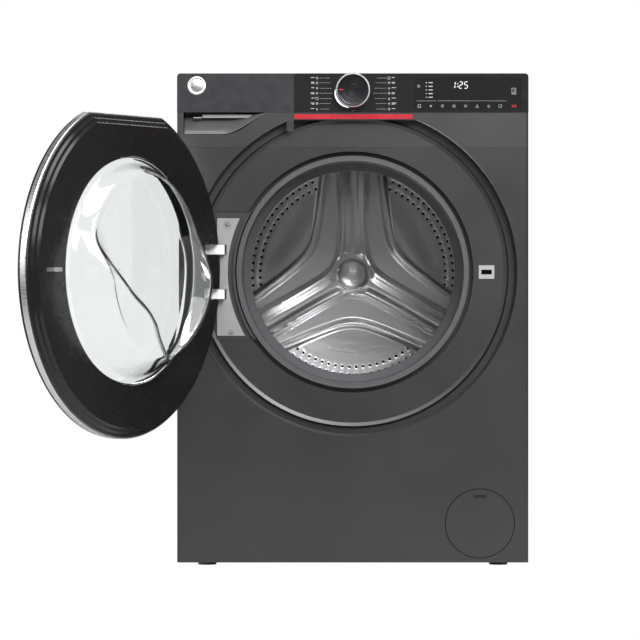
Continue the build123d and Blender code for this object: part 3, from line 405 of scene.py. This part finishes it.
HUB_R = 31.0
HUB_BLEND_R = 42.0
HUB_RISE = 17.0
HUB_BASE = 4.0


def smooth(a, b, t):
    """0 before a, 1 past b and an even S between them."""
    t = max(0.0, min(1.0, (t - a) / (b - a)))
    return t * t * (3 - 2 * t)


def past_edge(along, across, edge):
    """Distance beyond a rounded V whose corner lies on a sector's middle line."""
    start, corner, spread, slant = edge
    return (along - (start + math.sqrt(corner ** 2 + (spread * across) ** 2) - corner)) * slant


def back_height(r, angle):
    """How far the pressed sheet stands toward the door; each smooth() names where a slope runs."""
    mid = min(SECTOR_MIDS, key=lambda m: abs((angle - m + 180) % 360 - 180))
    off = math.radians((angle - mid + 180) % 360 - 180)
    along = r * math.cos(off)
    across = r * math.sin(off)
    d_out = past_edge(along, across, SECTOR_EDGE)
    d_in = past_edge(along, across, ARM_EDGE)
    ridge = RIDGE_RISE * smooth(-9, -3.5, d_out) * (1 - smooth(1.5, 7, d_out))
    valley = -VALLEY_SINK * (1 - smooth(-12, -5, d_out)) * smooth(1, 6, d_in)
    arm = ARM_RISE * (1 - smooth(-1.5, 5, d_in))
    lip = ARM_LIP_RISE * math.exp(-((d_in + 4.0) / 2.6) ** 2)
    trough = -TROUGH_SINK * smooth(9, 22, -d_in)
    height = (ridge + valley + arm + lip + trough) * (1 - smooth(197, 212, r))
    height -= DISH_SINK * smooth(110, 150, along) * (1 - smooth(192, 200, r))
    height += RIM_RISE * smooth(209, 233, r) ** 2
    if r < HUB_BLEND_R:
        dome = HUB_RISE * math.sqrt(max(0.0, 1 - (r / HUB_R) ** 2)) + HUB_BASE
        blend_out = smooth(HUB_R, HUB_BLEND_R, r)
        height = dome * (1 - blend_out) + height * blend_out
    return height


def back_point(r, angle):
    """A point of the pressed sheet, in metres."""
    a = math.radians(angle)
    y = DRUM_BACK_Y - (SHEET_FORWARD + back_height(r, angle)) * MM
    return (r * MM * math.cos(a), y, DOOR_Z + r * MM * math.sin(a))


def back_radii():
    """Radii of the sheet's grid rings: within, across and outside the rows of holes."""
    last = ROWS_FROM + ROWS * ROW_STEP
    rest = int((BACK_R - last) / OUTER_RING_STEP)
    radii = [CENTRE_R + i * INNER_RING_STEP for i in range(INNER_RINGS)]
    radii += [ROWS_FROM + i * ROW_STEP / SUB for i in range(ROWS * SUB)]
    return radii + [last + i * (BACK_R - last) / rest for i in range(rest + 1)]


def holed_places(step):
    """Places round the circle whose middle lies in one of the three sectors."""
    places = []
    for place in range(HOLE_COUNT):
        centre = (place + 0.5) * SUB * step
        if min(abs((centre - m + 180) % 360 - 180) for m in SECTOR_MIDS) < SECTOR_HALF:
            places.append(place)
    return places


def place_edge(low, place, count):
    """Indices of the grid points round one hole's place, in order."""
    left = place * SUB
    right = left + SUB
    edge = [(low, left + s) for s in range(SUB)]
    edge += [(low + s, right) for s in range(SUB)]
    edge += [(low + SUB, right - s) for s in range(SUB)]
    edge += [(low + SUB - s, left) for s in range(SUB)]
    return [i * count + k % count for i, k in edge]


def fill_place(verts, faces, dark, edge, mid):
    """Fills a place with a flat collar and a round hole whose wall and closing floor are dark: painted shade
    in the open hole.
    """
    rings = [edge]
    for size, sink in HOLE_RINGS:
        ring = []
        for index in edge:
            ray = Vector(verts[index]) - mid
            ray.y = 0
            ray = ray.normalized() * HOLE_R * size * MM
            ring.append(len(verts))
            verts.append((mid.x + ray.x, mid.y + sink * MM, mid.z + ray.z))
        rings.append(ring)
    for first, second in zip(rings, rings[1:]):
        for s in range(len(edge)):
            t = (s + 1) % len(edge)
            faces.append((first[s], first[t], second[t], second[s]))
            if second is rings[-1]:
                dark.append(len(faces) - 1)
    # a dark cap closes the hole: painted shade where the real hole is open
    faces.append(tuple(rings[-1]))
    dark.append(len(faces) - 1)


def make_drum_back():
    """The pressed sheet as one grid, with the holes' places left open and then filled."""
    count = HOLE_COUNT * SUB
    step = 360.0 / count
    radii = back_radii()
    verts = [back_point(r, k * step) for r in radii for k in range(count)]
    faces = []
    dark = []
    places = holed_places(step)
    for i in range(len(radii) - 1):
        in_rows = INNER_RINGS <= i < INNER_RINGS + ROWS * SUB
        for k in range(count):
            if in_rows and k // SUB in places:
                continue
            k2 = (k + 1) % count
            faces.append((i * count + k, (i + 1) * count + k, (i + 1) * count + k2, i * count + k2))
    centre_vert = len(verts)
    verts.append(back_point(0.01, 0))
    for k in range(count):
        faces.append((centre_vert, k, (k + 1) % count))
    for row in range(ROWS):
        for place in places:
            mid = Vector(back_point(ROWS_FROM + (row + 0.5) * ROW_STEP, (place + 0.5) * SUB * step))
            fill_place(verts, faces, dark, place_edge(INNER_RINGS + row * SUB, place, count), mid)
    mesh = mesh_from("drum_back_pressed", verts, faces)
    mesh.materials.append(DRUM_STEEL)
    mesh.materials.append(PAINTED_HOLE_SHADE)
    # the holes' walls and caps take the painted shade
    for index in dark:
        mesh.polygons[index].material_index = 1
    fix_normals(mesh)
    obj = link("drum_back_pressed", mesh, None, "drum", angle=50)
    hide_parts("drum_back")


def make_hub_dome():
    """Smooth satin cap over the end of the drum shaft."""
    base = DRUM_BACK_Y - 5.6 * MM
    cap_r = 31.2 * MM
    rise = 17.6 * MM
    skirt_r = 32.2 * MM
    back = base + 2.0 * MM
    steps = 28
    profile = [(AXIS_R, base - rise)]
    for i in range(1, steps + 1):
        a = math.pi / 2 * i / steps
        profile.append((cap_r * math.sin(a), base - rise * math.cos(a)))
    profile += [(skirt_r, base + 0.6 * MM), (skirt_r, back), (AXIS_R, back)]
    verts, faces = turned(profile, (0, DOOR_Z), 96)
    mesh = mesh_from("hub_dome", verts, faces)
    fix_normals(mesh)
    link("hub_dome", mesh, SATIN_STEEL, "drum")


make_drum_back()
make_hub_dome()


# ---- door glass, in mm: rim lip, conical wall, flat tear-shaped window and belly
GLASS_R = 186.3
GLASS_V = 7.0                   # the rim lies this far behind the front plane with the door shut
GLASS_THICK = 3.5
LIP_RISE = 3.0
WALL_R = 177.0
WALL_SLOPE = 2.1
FACE_DEPTH = 29.0
BELLY_DEPTH = 34.0
BELLY_RUN = 38                  # the belly swells over this distance outside the flat window
BELLY_TOP = 75
BELLY_FULL = -25
CORNER_BLEND = 15.0
# corners of the flat window, x and z from the glass's centre
WINDOW_OUTLINE = ((-2, 137), (55, 130), (101, 105), (122, 67), (108, 30), (68, -10), (22, -40), (-6, -68),
                  (-22, -98), (-47, -128), (-76, -120), (-97, -71), (-110, -3), (-101, 42), (-72, 92),
                  (-38, 124))


def closed_curve(points, per_span=6):
    """A smooth closed line through the points."""
    out = []
    n = len(points)
    for i in range(n):
        p0, p1, p2, p3 = (Vector(points[(i + k - 1) % n]) for k in range(4))
        for s in range(per_span):
            t = s / per_span
            out.append(0.5 * (2 * p1 + (p2 - p0) * t + (2 * p0 - 5 * p1 + 4 * p2 - p3) * t * t
                              + (3 * p1 - p0 - 3 * p2 + p3) * t ** 3))
    return out


WINDOW_CURVE = closed_curve(WINDOW_OUTLINE)


def outside_window(x, z):
    """Distance outside the flat window, or 0 within it."""
    p = Vector((x, z))
    inside = False
    best = math.inf
    n = len(WINDOW_CURVE)
    for i in range(n):
        a = WINDOW_CURVE[i]
        b = WINDOW_CURVE[(i + 1) % n]
        if (a.y > z) != (b.y > z) and x < (b.x - a.x) * (z - a.y) / (b.y - a.y) + a.x:
            inside = not inside
        ab = b - a
        t = max(0.0, min(1.0, (p - a).dot(ab) / ab.length_squared))
        best = min(best, (p - a - ab * t).length)
    return 0.0 if inside else best


def glass_depth(x, z):
    """How far the glass stands behind its rim at x, z from its centre."""
    r = math.hypot(x, z)
    lip = LIP_RISE * (1 - smooth(178, 186, r))
    wall = max(0.0, WALL_R - r) * WALL_SLOPE
    face = FACE_DEPTH
    if z < BELLY_TOP:
        face += BELLY_DEPTH * smooth(0, BELLY_RUN, outside_window(x, z)) * smooth(BELLY_TOP, BELLY_FULL, z)
    h = max(0.0, min(1.0, 0.5 + 0.5 * (face - wall) / CORNER_BLEND))
    depth = face * (1 - h) + wall * h - CORNER_BLEND * h * (1 - h)
    return lip + max(0.0, depth)


def make_door_glass():
    """The moulded bowl, drawn with the door shut and turned to where it rests."""
    rings = 64
    count = 160
    verts = [front(0, GLASS_V + glass_depth(0, 0), DOOR_Z)]
    for i in range(1, rings + 1):
        r = GLASS_R * (i / rings)
        for k in range(count):
            a = 2 * math.pi * k / count
            x = r * math.cos(a)
            z = r * math.sin(a)
            verts.append(front(x * MM, GLASS_V + glass_depth(x, z), DOOR_Z + z * MM))
    faces = [(0, 1 + k, 1 + (k + 1) % count) for k in range(count)]
    for i in range(rings - 1):
        a = 1 + i * count
        b = a + count
        for k in range(count):
            k2 = (k + 1) % count
            faces.append((a + k, b + k, b + k2, a + k2))
    mesh = mesh_from("door_glass_bowl", verts, faces)
    bm = bmesh.new()
    bm.from_mesh(mesh)
    bmesh.ops.recalc_face_normals(bm, faces=bm.faces)
    if bm.faces[0].normal.y < 0:
        bmesh.ops.reverse_faces(bm, faces=bm.faces)
    bm.to_mesh(mesh)
    bm.free()
    from_closed(mesh)
    obj = link("door_glass_bowl", mesh, GLASS, "door", angle=180)
    thick = obj.modifiers.new("thickness", "SOLIDIFY")
    thick.thickness = GLASS_THICK * MM
    thick.offset = -1
    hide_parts("door_glass")


make_door_glass()


# ---- flat outlines in metres, from sizes in mm ----------------------------------
def arc_outline(cx, cz, r0, r1, a0, a1, crescent=False, steps=40):
    """A ring sector round cx, cz in metres; a crescent's ends narrow."""
    outer = []
    inner = []
    for k in range(steps + 1):
        t = k / steps
        a = math.radians(a0 + (a1 - a0) * t)
        thin = math.sin(math.pi * t) ** 0.6 if crescent else 1.0
        rr = r0 + (r1 - r0) * max(0.06, thin)
        outer.append((cx + rr * MM * math.cos(a), cz + rr * MM * math.sin(a)))
        inner.append((cx + r0 * MM * math.cos(a), cz + r0 * MM * math.sin(a)))
    return outer + inner[::-1]


def bar(x0, x1, z, tall):
    """A mark of the given height between two x, with its middle z above the floor."""
    return [(x0 * MM, (z - tall / 2) * MM), (x1 * MM, (z - tall / 2) * MM),
            (x1 * MM, (z + tall / 2) * MM), (x0 * MM, (z + tall / 2) * MM)]


def stroke(x0, z0, x1, z1, wide):
    """A straight line of even width between two points."""
    d = Vector((x1 - x0, z1 - z0)).normalized() * wide / 2
    n = Vector((-d.y, d.x))
    return [((x0 + n.x) * MM, (z0 + n.y) * MM), ((x0 - n.x) * MM, (z0 - n.y) * MM),
            ((x1 - n.x) * MM, (z1 - n.y) * MM), ((x1 + n.x) * MM, (z1 + n.y) * MM)]


def ring_mark(x, z, r, wide=0.45, a0=0, a1=359.9):
    """A thin ring, or a part of one, with its outer radius r."""
    return arc_outline(x * MM, z * MM, r - wide, r, a0, a1, steps=24)


# ---- knob -------------------------------------------------------------------
KNOB_DISH = 0.9 * MM
KNOB_RIPPLE = 0.05 * MM
KNOB_STEM_R = 8 * MM


def make_knob():
    """Spun face in a shallow dish, straight skirt and a stem behind the fascia."""
    r = (KNOB_HIGH[0] - KNOB_LOW[0]) / 2
    y0 = KNOB_LOW[1] + 0.8 * MM
    dish_r = r - 2.2 * MM
    steps = 60
    profile = [(AXIS_R, y0 + KNOB_DISH)]
    for i in range(1, steps):
        q = i / steps
        profile.append((q * dish_r, y0 + KNOB_DISH * (1 - q ** 2) + KNOB_RIPPLE * math.sin(i * 2.1)))
    profile += [(r - 1.9 * MM, y0 - 0.5 * MM), (r - 0.9 * MM, y0 - 0.5 * MM), (r - 0.2 * MM, y0 + 0.3 * MM),
                (r, y0 + 1.2 * MM), (r, y0 + 14.5 * MM), (KNOB_STEM_R, y0 + 15 * MM),
                (KNOB_STEM_R, KNOB_HIGH[1]), (AXIS_R, KNOB_HIGH[1])]
    verts, faces = turned(profile, (KNOB_X, KNOB_Z), 128)
    mesh = mesh_from("knob_spun", verts, faces)
    fix_normals(mesh)
    obj = link("knob_spun", mesh, KNOB_FACE, "knob")
    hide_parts("programme_knob")
    make_knob_marker(KNOB_X - r, (y0 - FRONT_Y) / MM)


def make_knob_marker(rim_x, depth):
    """A red pointer on the dial's face, wider toward its rim."""
    outer = rim_x + 2.6 * MM
    inner = rim_x + 11 * MM
    wide = 0.7 * MM
    narrow = 0.45 * MM
    outline = [(outer, KNOB_Z - wide), (inner, KNOB_Z - narrow),
               (inner, KNOB_Z + narrow), (outer, KNOB_Z + wide)]
    mesh = prism_mesh("knob_marker", [outline], depth - 0.45, depth + 1.0)
    link("knob_marker", mesh, GLOWING_PRINT_RED, "knob", smooth=False)


def make_ring_highlight():
    """Painted highlight: a glowing white crescent low on the left of the dial, on the black ring round it."""
    v = (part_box("knob_light_ring")[0][1] - FRONT_Y) / MM
    finish(NODES["knob_light_ring"], FASCIA)
    # painted highlight: this white crescent glows though no lamp lights it
    crescent = arc_outline(KNOB_X, KNOB_Z, 29.9, 33.0, 176, 258, crescent=True)
    mesh = prism_mesh("knob_ring_painted_highlight", [crescent], v - 0.25, v + 0.4)
    link("knob_ring_painted_highlight", mesh, LED_AND_HIGHLIGHT_WHITE, "cabinet", smooth=False)


make_knob()
make_ring_highlight()


# ---- printed marks on the fascia, in mm -----------------------------------------
PRINT_V = (PANEL_LOW[1] - FRONT_Y) / MM
WINDOW_V = (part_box("display_window")[0][1] - FRONT_Y) / MM
PRINT_RISE = 0.12
PRINT_SUNK = 0.1
LABEL_TOP = TOP_Z / MM
ROW_DROPS = (8.0, 16.0, 25.5, 34.0, 43.0, 51.5, 61.0)     # programme rows, below the top
COLUMN_X = 61.5                 # the signs stand this far from the dial's centre
SIGN_GAP = 4.5                  # from a sign's middle to its line and to its words
SIGN_KINDS = 7
SIGN_LINE = 0.5
RNG = random.Random(7)


def print_on(name, marks, v, material):
    """Joins marks into one piece that stands just proud of depth v."""
    mesh = prism_mesh(name, marks, v - PRINT_RISE, v + PRINT_SUNK)
    link(name, mesh, material, "cabinet", smooth=False)


def glyph(kind, x, z, s):
    """One small generic sign about s wide: dial, box, tent, bars, star, switch or diamond."""
    h = s / 2
    left, right, low, high = x - h, x + h, z - h, z + h
    if kind == 0:
        return [ring_mark(x, z, h), bar(x - 0.25, x + 0.25, z + h * 0.4, h * 0.8)]
    if kind == 1:
        lines = [(left, low, right, low), (left, high, right, high),
                 (left, low, left, high), (right, low, right, high)]
    elif kind == 2:
        lines = [(left, low, x, high), (x, high, right, low), (left, low, right, low)]
    elif kind == 3:
        lines = [(left, z + k * h * 0.7, right, z + k * h * 0.7) for k in (-1, 0, 1)]
    elif kind == 4:
        spokes = [(h * math.cos(a), h * math.sin(a)) for a in map(math.radians, (30, 90, 150))]
        lines = [(x - dx, z - dz, x + dx, z + dz) for dx, dz in spokes]
    elif kind == 5:
        switch = ring_mark(x, z - h * 0.2, h * 0.8, SIGN_LINE, 120, 420)
        return [switch, stroke(x, z + h * 0.3, x, high, SIGN_LINE)]
    else:
        lines = [(left, z, x, high), (x, high, right, z), (right, z, x, low), (x, low, left, z)]
    return [stroke(*line, SIGN_LINE) for line in lines]


def make_programme_marks():
    """Two columns of signs with a line to the dial and bars in place of words."""
    knob_x = KNOB_X / MM
    marks = []
    for side in (-1, 1):
        column = knob_x + side * COLUMN_X
        for i, drop in enumerate(ROW_DROPS):
            z = LABEL_TOP - drop
            marks += glyph((i * 2 + (side > 0)) % SIGN_KINDS, column, z, 4.0)
            start = column - side * SIGN_GAP
            end = knob_x + side * (35.0 + 1.8 * abs(i - 3))
            marks.append(bar(min(start, end), max(start, end), z, 0.25))
            text = column + side * SIGN_GAP
            for word in range(2 if i % 2 else 1):
                length = RNG.uniform(5.0, 8.0) - word
                first = text if side > 0 else text - length
                marks.append(bar(first, first + length, z + 0.9 - word * 1.9, 0.9))
    marks.append(bar(knob_x - 0.3, knob_x + 0.3, LABEL_TOP - 60.6, 2.6))
    marks.append(ring_mark(knob_x, LABEL_TOP - 62.2, 2.4, 0.5, 120, 420))
    print_on("programme_marks", marks, PRINT_V, GLOWING_PRINT_GREY)


SEGMENTS = {"1": "bc", "2": "abged", "5": "afgcd"}
DIGIT_WIDE = 5.4
DIGIT_TALL = 11.0
DIGIT_LINE = 0.85
DIGIT_LEAN = 0.08
SEGMENT_GAP = 0.75


def digit(x, z, name):
    """Lit bars of one figure, low left corner at x, z."""
    wide, tall = DIGIT_WIDE, DIGIT_TALL
    lines = {"a": (0, tall, wide, tall), "b": (wide, tall, wide, tall / 2), "c": (wide, tall / 2, wide, 0),
             "d": (0, 0, wide, 0), "e": (0, 0, 0, tall / 2), "f": (0, tall / 2, 0, tall),
             "g": (0, tall / 2, wide, tall / 2)}
    out = []
    for key in SEGMENTS[name]:
        x0, z0, x1, z1 = lines[key]
        run = Vector((x1 - x0, z1 - z0)).normalized() * SEGMENT_GAP
        out.append(stroke(x + x0 + z0 * DIGIT_LEAN + run.x, z + z0 + run.y,
                          x + x1 + z1 * DIGIT_LEAN - run.x, z + z1 - run.y, DIGIT_LINE))
    return out


TIME_X = 168.7                  # left edge of the shown time
TIME_DROP = 25.5
LIST_X = 129.5                  # left edge of the short list beside it
LIST_DROP = 16.0
LIST_STEP = 6.2
RULE_DROP = 47.0
KEYS = 8
KEY_X = 113.5
KEY_STEP = 19.75
KEY_DROP = 55.8
RIGHT_SIGN_X = 275.0
RIGHT_SIGN_DROP = 29.0


def make_time():
    """The shown time, 1:25."""
    z = LABEL_TOP - TIME_DROP
    lit = digit(TIME_X, z, "1")
    lit += [bar(TIME_X + 9.3, TIME_X + 10.6, z + 3.0, 1.3), bar(TIME_X + 9.6, TIME_X + 10.9, z + 7.6, 1.3)]
    lit += digit(TIME_X + 12.6, z, "2") + digit(TIME_X + 21.6, z, "5")
    print_on("display_figures", lit, WINDOW_V, LED_AND_HIGHLIGHT_WHITE)


def make_display_marks():
    """List, rules, touch keys and the sign at the right end of the display."""
    marks = []
    for i in range(5):
        z = LABEL_TOP - LIST_DROP - i * LIST_STEP
        marks.append(bar(LIST_X, LIST_X + 7.0, z, 1.3))
        marks.append(bar(LIST_X - 4.9, LIST_X - 2.9, z, 1.3))
    marks += glyph(1, LIST_X - 17.0, LABEL_TOP - 22.0, 3.0)
    marks += [bar(109, 142, LABEL_TOP - RULE_DROP, 0.3), bar(145, 263, LABEL_TOP - RULE_DROP, 0.3)]
    for i in range(KEYS):
        marks += glyph((i * 3 + 1) % SIGN_KINDS, KEY_X + i * KEY_STEP, LABEL_TOP - KEY_DROP, 4.6)
    z = LABEL_TOP - RIGHT_SIGN_DROP
    marks += glyph(1, RIGHT_SIGN_X, z, 7.0)
    marks += [ring_mark(RIGHT_SIGN_X - shift, z, 2.2, 0.4, -50, 50) for shift in (0.0, 1.5)]
    marks.append(bar(RIGHT_SIGN_X - 4.0, RIGHT_SIGN_X + 4.0, z - 6.0, 0.8))
    print_on("display_marks", marks, WINDOW_V, GLOWING_PRINT_GREY)


def make_start_mark():
    """A red arrow head and two bars at the end of the row of keys."""
    left = 271.5
    tip = left + 2.5
    half = 2.3
    z = LABEL_TOP - KEY_DROP
    marks = [stroke(left, z + half, tip, z, 0.7), stroke(tip, z, left, z - half, 0.7)]
    marks += [bar(x, x + 0.8, z, 2 * half) for x in (left + 4.1, left + 6.5)]
    print_on("start_mark", marks, WINDOW_V, GLOWING_PRINT_RED)


make_programme_marks()
make_time()
make_display_marks()
make_start_mark()


def make_badge():
    """A blank round badge on the drawer front: a domed ring and a flat inlay."""
    x = DRAWER_LOW[0] + 33.5 * MM
    z = TOP_Z - 21.0 * MM
    ring = [(0.1, -0.3), (11.5, -0.35), (12.3, -0.9), (15.0, -1.0), (15.6, -0.6), (15.7, 0.4), (0.1, 0.4)]
    inlay = [(0.1, -0.55), (10.9, -0.55), (11.3, -0.3), (11.3, 0.0), (0.1, 0.0)]
    for name, section, material in (("round_badge", ring, SILVER), ("round_badge_inlay", inlay, CHROME)):
        profile = [(r * MM, DRAWER_LOW[1] + v * MM) for r, v in section]
        verts, faces = turned(profile, (x, z), 96)
        mesh = mesh_from(name, verts, faces)
        fix_normals(mesh)
        link(name, mesh, material, "drawer")


make_badge()


# ---- hinge side details ----------------------------------------------------------
SCREW_HEAD_R = 4.6
BOSS_INNER_R = 6.6
BOSS_OUTER_R = 8.0
BOSS_LEG = 5.5


def make_hinge_bosses():
    """Pressed U bosses round the two hinge screws, open upward at the top one."""
    v = (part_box("hinge_plate")[0][1] - FRONT_Y) / MM
    low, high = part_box("hinge_screws")
    mid_r = (BOSS_INNER_R + BOSS_OUTER_R) / 2
    half = (BOSS_OUTER_R - BOSS_INNER_R) / 2
    outlines = []
    for x, z, up in ((low[0] / MM + SCREW_HEAD_R, high[2] / MM - SCREW_HEAD_R, 1),
                     (high[0] / MM - SCREW_HEAD_R, low[2] / MM + SCREW_HEAD_R, -1)):
        first = 180 if up > 0 else 0
        outlines.append(arc_outline(x * MM, z * MM, BOSS_INNER_R, BOSS_OUTER_R, first, first + 180, steps=24))
        for leg_x in (x - mid_r, x + mid_r):
            corners = ((-half, 0), (half, 0), (half, up * BOSS_LEG), (-half, up * BOSS_LEG))
            outlines.append([((leg_x + dx) * MM, (z + dz) * MM) for dx, dz in corners])
    mesh = prism_mesh("hinge_plate_bosses", outlines, v - 0.5, v + 0.3)
    link("hinge_plate_bosses", mesh, ZINC, "cabinet", smooth=False)


make_hinge_bosses()


# ---- grip recess, slot and tab, in mm ----------------------------------------------
DRAWER_LEFT = DRAWER_LOW[0] / MM
DRAWER_RIGHT = DRAWER_HIGH[0] / MM
DRAWER_UNDER = DRAWER_LOW[2] / MM
GRIP_LEFT = DRAWER_LEFT + 11.0
GRIP_RIGHT = DRAWER_RIGHT - 34.0
GRIP_LOW = DRAWER_UNDER - 38.0
GRIP_TOP = DRAWER_UNDER - 0.4
GRIP_LEVEL = 66.0               # the lower edge runs level this far from the left
GRIP_OVER = 1.4                 # its upper end aims this far above the hollow's top
GRIP_END = (0.993, 0.119)       # direction of its upper end
# depth and height above the lower edge, from the front to the back of the hollow
SCOOP_SECTION = ((0.7, 0.4), (2.0, 1.8), (4.5, 5.0), (8.0, 9.0), (12.0, 13.5), (16.0, 19.0), (19.5, 26.0),
                 (22.0, 34.0))


def grip_floor(x):
    """Height of the recess's lower edge at x: level, then swept up to the right."""
    x0 = GRIP_LEFT + GRIP_LEVEL
    if x <= x0:
        return GRIP_LOW
    rise = GRIP_TOP + GRIP_OVER - GRIP_LOW
    run = GRIP_RIGHT - x0
    chord = math.hypot(run, rise)
    low, high = 0.0, 1.0
    for _ in range(30):
        t = (low + high) / 2
        start = (t ** 3 - 2 * t * t + t) * chord
        end = (t ** 3 - t * t) * chord
        share = 3 * t * t - 2 * t ** 3
        if start + share * run + end * GRIP_END[0] < x - x0:
            low = t
        else:
            high = t
    return GRIP_LOW + share * rise + end * GRIP_END[1]


def make_grip_scoop():
    """The hollow's rounded lower face, rising toward the back."""
    columns = 60
    verts = []
    for k in range(columns + 1):
        x = GRIP_LEFT + 0.4 + (GRIP_RIGHT - 3.0 - GRIP_LEFT) * k / columns
        verts += [front(x * MM, v, min(grip_floor(x) + rise, GRIP_TOP) * MM) for v, rise in SCOOP_SECTION]
    n = len(SCOOP_SECTION)
    faces = []
    for k in range(columns):
        for a in range(k * n, k * n + n - 1):
            faces.append((a, a + n, a + n + 1, a + 1))
    mesh = mesh_from("grip_scoop", verts, faces)
    obj = link("grip_scoop", mesh, SATIN, "cabinet", angle=60)
    thick = obj.modifiers.new("thickness", "SOLIDIFY")
    thick.thickness = 0.8 * MM
    thick.offset = 1


def plate(name, outline, v0, v1, material, body, edge):
    """A small flat piece from depth v0 to v1 with rounded edges."""
    mesh = prism_mesh(name, [outline], v0, v1)
    bevelled(link(name, mesh, material, body, smooth=False), edge * MM)


def make_small_parts():
    """Strip and clip under the drawer, the tab to its right and the floor of the flap's slot."""
    strip = bar(DRAWER_LEFT + 43.0, DRAWER_RIGHT - 72.0, DRAWER_UNDER - 6.2, 6.0)
    plate("drawer_under_strip", strip, 9.0, 11.0, GREY, "drawer", 0.6)
    clip = bar(DRAWER_LEFT + 28.0, DRAWER_LEFT + 42.0, DRAWER_UNDER - 8.8, 2.2)
    plate("drawer_clip", clip, 8.0, 11.0, GREY, "drawer", 0.5)
    tab = bar(DRAWER_RIGHT - 13.0, DRAWER_RIGHT - 0.5, DRAWER_UNDER - 23.0, 20.0)
    plate("trim_tab", tab, -0.25, 0.4, PAINT, "cabinet", 0.5)
    low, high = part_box("filter_flap")
    x = (low[0] + high[0]) / 2 / MM
    z = (low[2] + high[2]) / 2 / MM
    mesh = prism_mesh("filter_slot_floor", [bar(x - 11.0, x + 11.0, z + 46.0, 4.6)], 0.9, 1.5)
    link("filter_slot_floor", mesh, BLACK, "flap", smooth=False)


make_grip_scoop()
make_small_parts()


# ---- stage, lights and camera ------------------------------------------------------
def make_stage():
    """A small white sheet that reads pure white to the camera."""
    size = 1.6
    corners = [(-size, -size, 0), (size, -size, 0), (size, size, 0), (-size, size, 0)]
    mesh = mesh_from("floor", corners, [(0, 1, 2, 3)])
    material = bpy.data.materials.new("floor_white")
    material.use_nodes = True
    tree = material.node_tree
    bsdf = tree.nodes["Principled BSDF"]
    bsdf.inputs["Base Color"].default_value = (0.5, 0.5, 0.5, 1)
    bsdf.inputs["Roughness"].default_value = 0.8
    bright = tree.nodes.new("ShaderNodeEmission")
    bright.inputs["Strength"].default_value = 1.0
    path = tree.nodes.new("ShaderNodeLightPath")
    mix = tree.nodes.new("ShaderNodeMixShader")
    tree.links.new(path.outputs["Is Camera Ray"], mix.inputs["Fac"])
    tree.links.new(bsdf.outputs["BSDF"], mix.inputs[1])
    tree.links.new(bright.outputs["Emission"], mix.inputs[2])
    tree.links.new(mix.outputs["Shader"], tree.nodes["Material Output"].inputs["Surface"])
    floor = bpy.data.objects.new("floor", mesh)
    mesh.materials.append(material)
    bpy.context.collection.objects.link(floor)


def area_light(name, place, aim, width, height, power):
    """A soft rectangular light, sizes in metres and power in watts."""
    data = bpy.data.lights.new(name, "AREA")
    data.shape = "RECTANGLE"
    data.size = width
    data.size_y = height
    data.energy = power
    obj = bpy.data.objects.new(name, data)
    obj.location = place
    obj.rotation_euler = (Vector(aim) - Vector(place)).to_track_quat("-Z", "Y").to_euler()
    bpy.context.collection.objects.link(obj)


def make_world():
    """White to the camera, softer grey as light."""
    world = bpy.data.worlds.new("studio")
    bpy.context.scene.world = world
    world.use_nodes = True
    tree = world.node_tree
    tree.nodes.clear()
    out = tree.nodes.new("ShaderNodeOutputWorld")
    mix = tree.nodes.new("ShaderNodeMixShader")
    path = tree.nodes.new("ShaderNodeLightPath")
    lit = tree.nodes.new("ShaderNodeBackground")
    lit.inputs["Color"].default_value = (1, 1, 1, 1)
    lit.inputs["Strength"].default_value = 0.16
    seen = tree.nodes.new("ShaderNodeBackground")
    seen.inputs["Color"].default_value = (1, 1, 1, 1)
    seen.inputs["Strength"].default_value = 1.0
    clear_view = tree.nodes.new("ShaderNodeMath")
    clear_view.operation = "MAXIMUM"
    tree.links.new(path.outputs["Is Camera Ray"], clear_view.inputs[0])
    tree.links.new(path.outputs["Is Transmission Ray"], clear_view.inputs[1])
    tree.links.new(clear_view.outputs["Value"], mix.inputs["Fac"])
    tree.links.new(lit.outputs["Background"], mix.inputs[1])
    tree.links.new(seen.outputs["Background"], mix.inputs[2])
    tree.links.new(mix.outputs["Shader"], out.inputs["Surface"])


make_stage()
make_world()
area_light("key_right", (1.6, -3.6, 2.9), (0.1, 0, 0.7), 1.8, 1.8, 170)
area_light("fill_left", (-3.4, -2.6, 1.8), (-0.4, -0.2, 0.6), 1.2, 2.4, 40)
area_light("front_high", (0.0, -5.6, 3.4), (0, 0.2, 0.5), 3.4, 2.2, 90)
area_light("top_soft", (0.2, -1.4, 3.4), (0, 0, 0.5), 2.6, 1.8, 60)
area_light("back_soft", (0.0, 4.0, 3.0), (0, 0, 0.5), 2.5, 2.0, 60)

CAMERA_AWAY = 5.5               # metres in front of the front plane
CAMERA_Z = 0.463
VIEW_WIDTH = 1.0925             # width of the front plane that fills the picture
CENTRE_X = -0.0559              # the picture's middle on that plane
CENTRE_Z = 0.429
SENSOR = 36.0
camera_data = bpy.data.cameras.new("camera")
camera_data.sensor_width = SENSOR
camera_data.lens = SENSOR * CAMERA_AWAY / VIEW_WIDTH
camera_data.shift_x = CENTRE_X / VIEW_WIDTH
camera_data.shift_y = (CENTRE_Z - CAMERA_Z) / VIEW_WIDTH
camera_data.clip_end = 100.0
camera = bpy.data.objects.new("camera", camera_data)
camera.location = (0, FRONT_Y - CAMERA_AWAY, CAMERA_Z)
camera.rotation_euler = (math.radians(90), 0, 0)
bpy.context.collection.objects.link(camera)
bpy.context.scene.camera = camera
bpy.context.scene.view_settings.view_transform = "Standard"
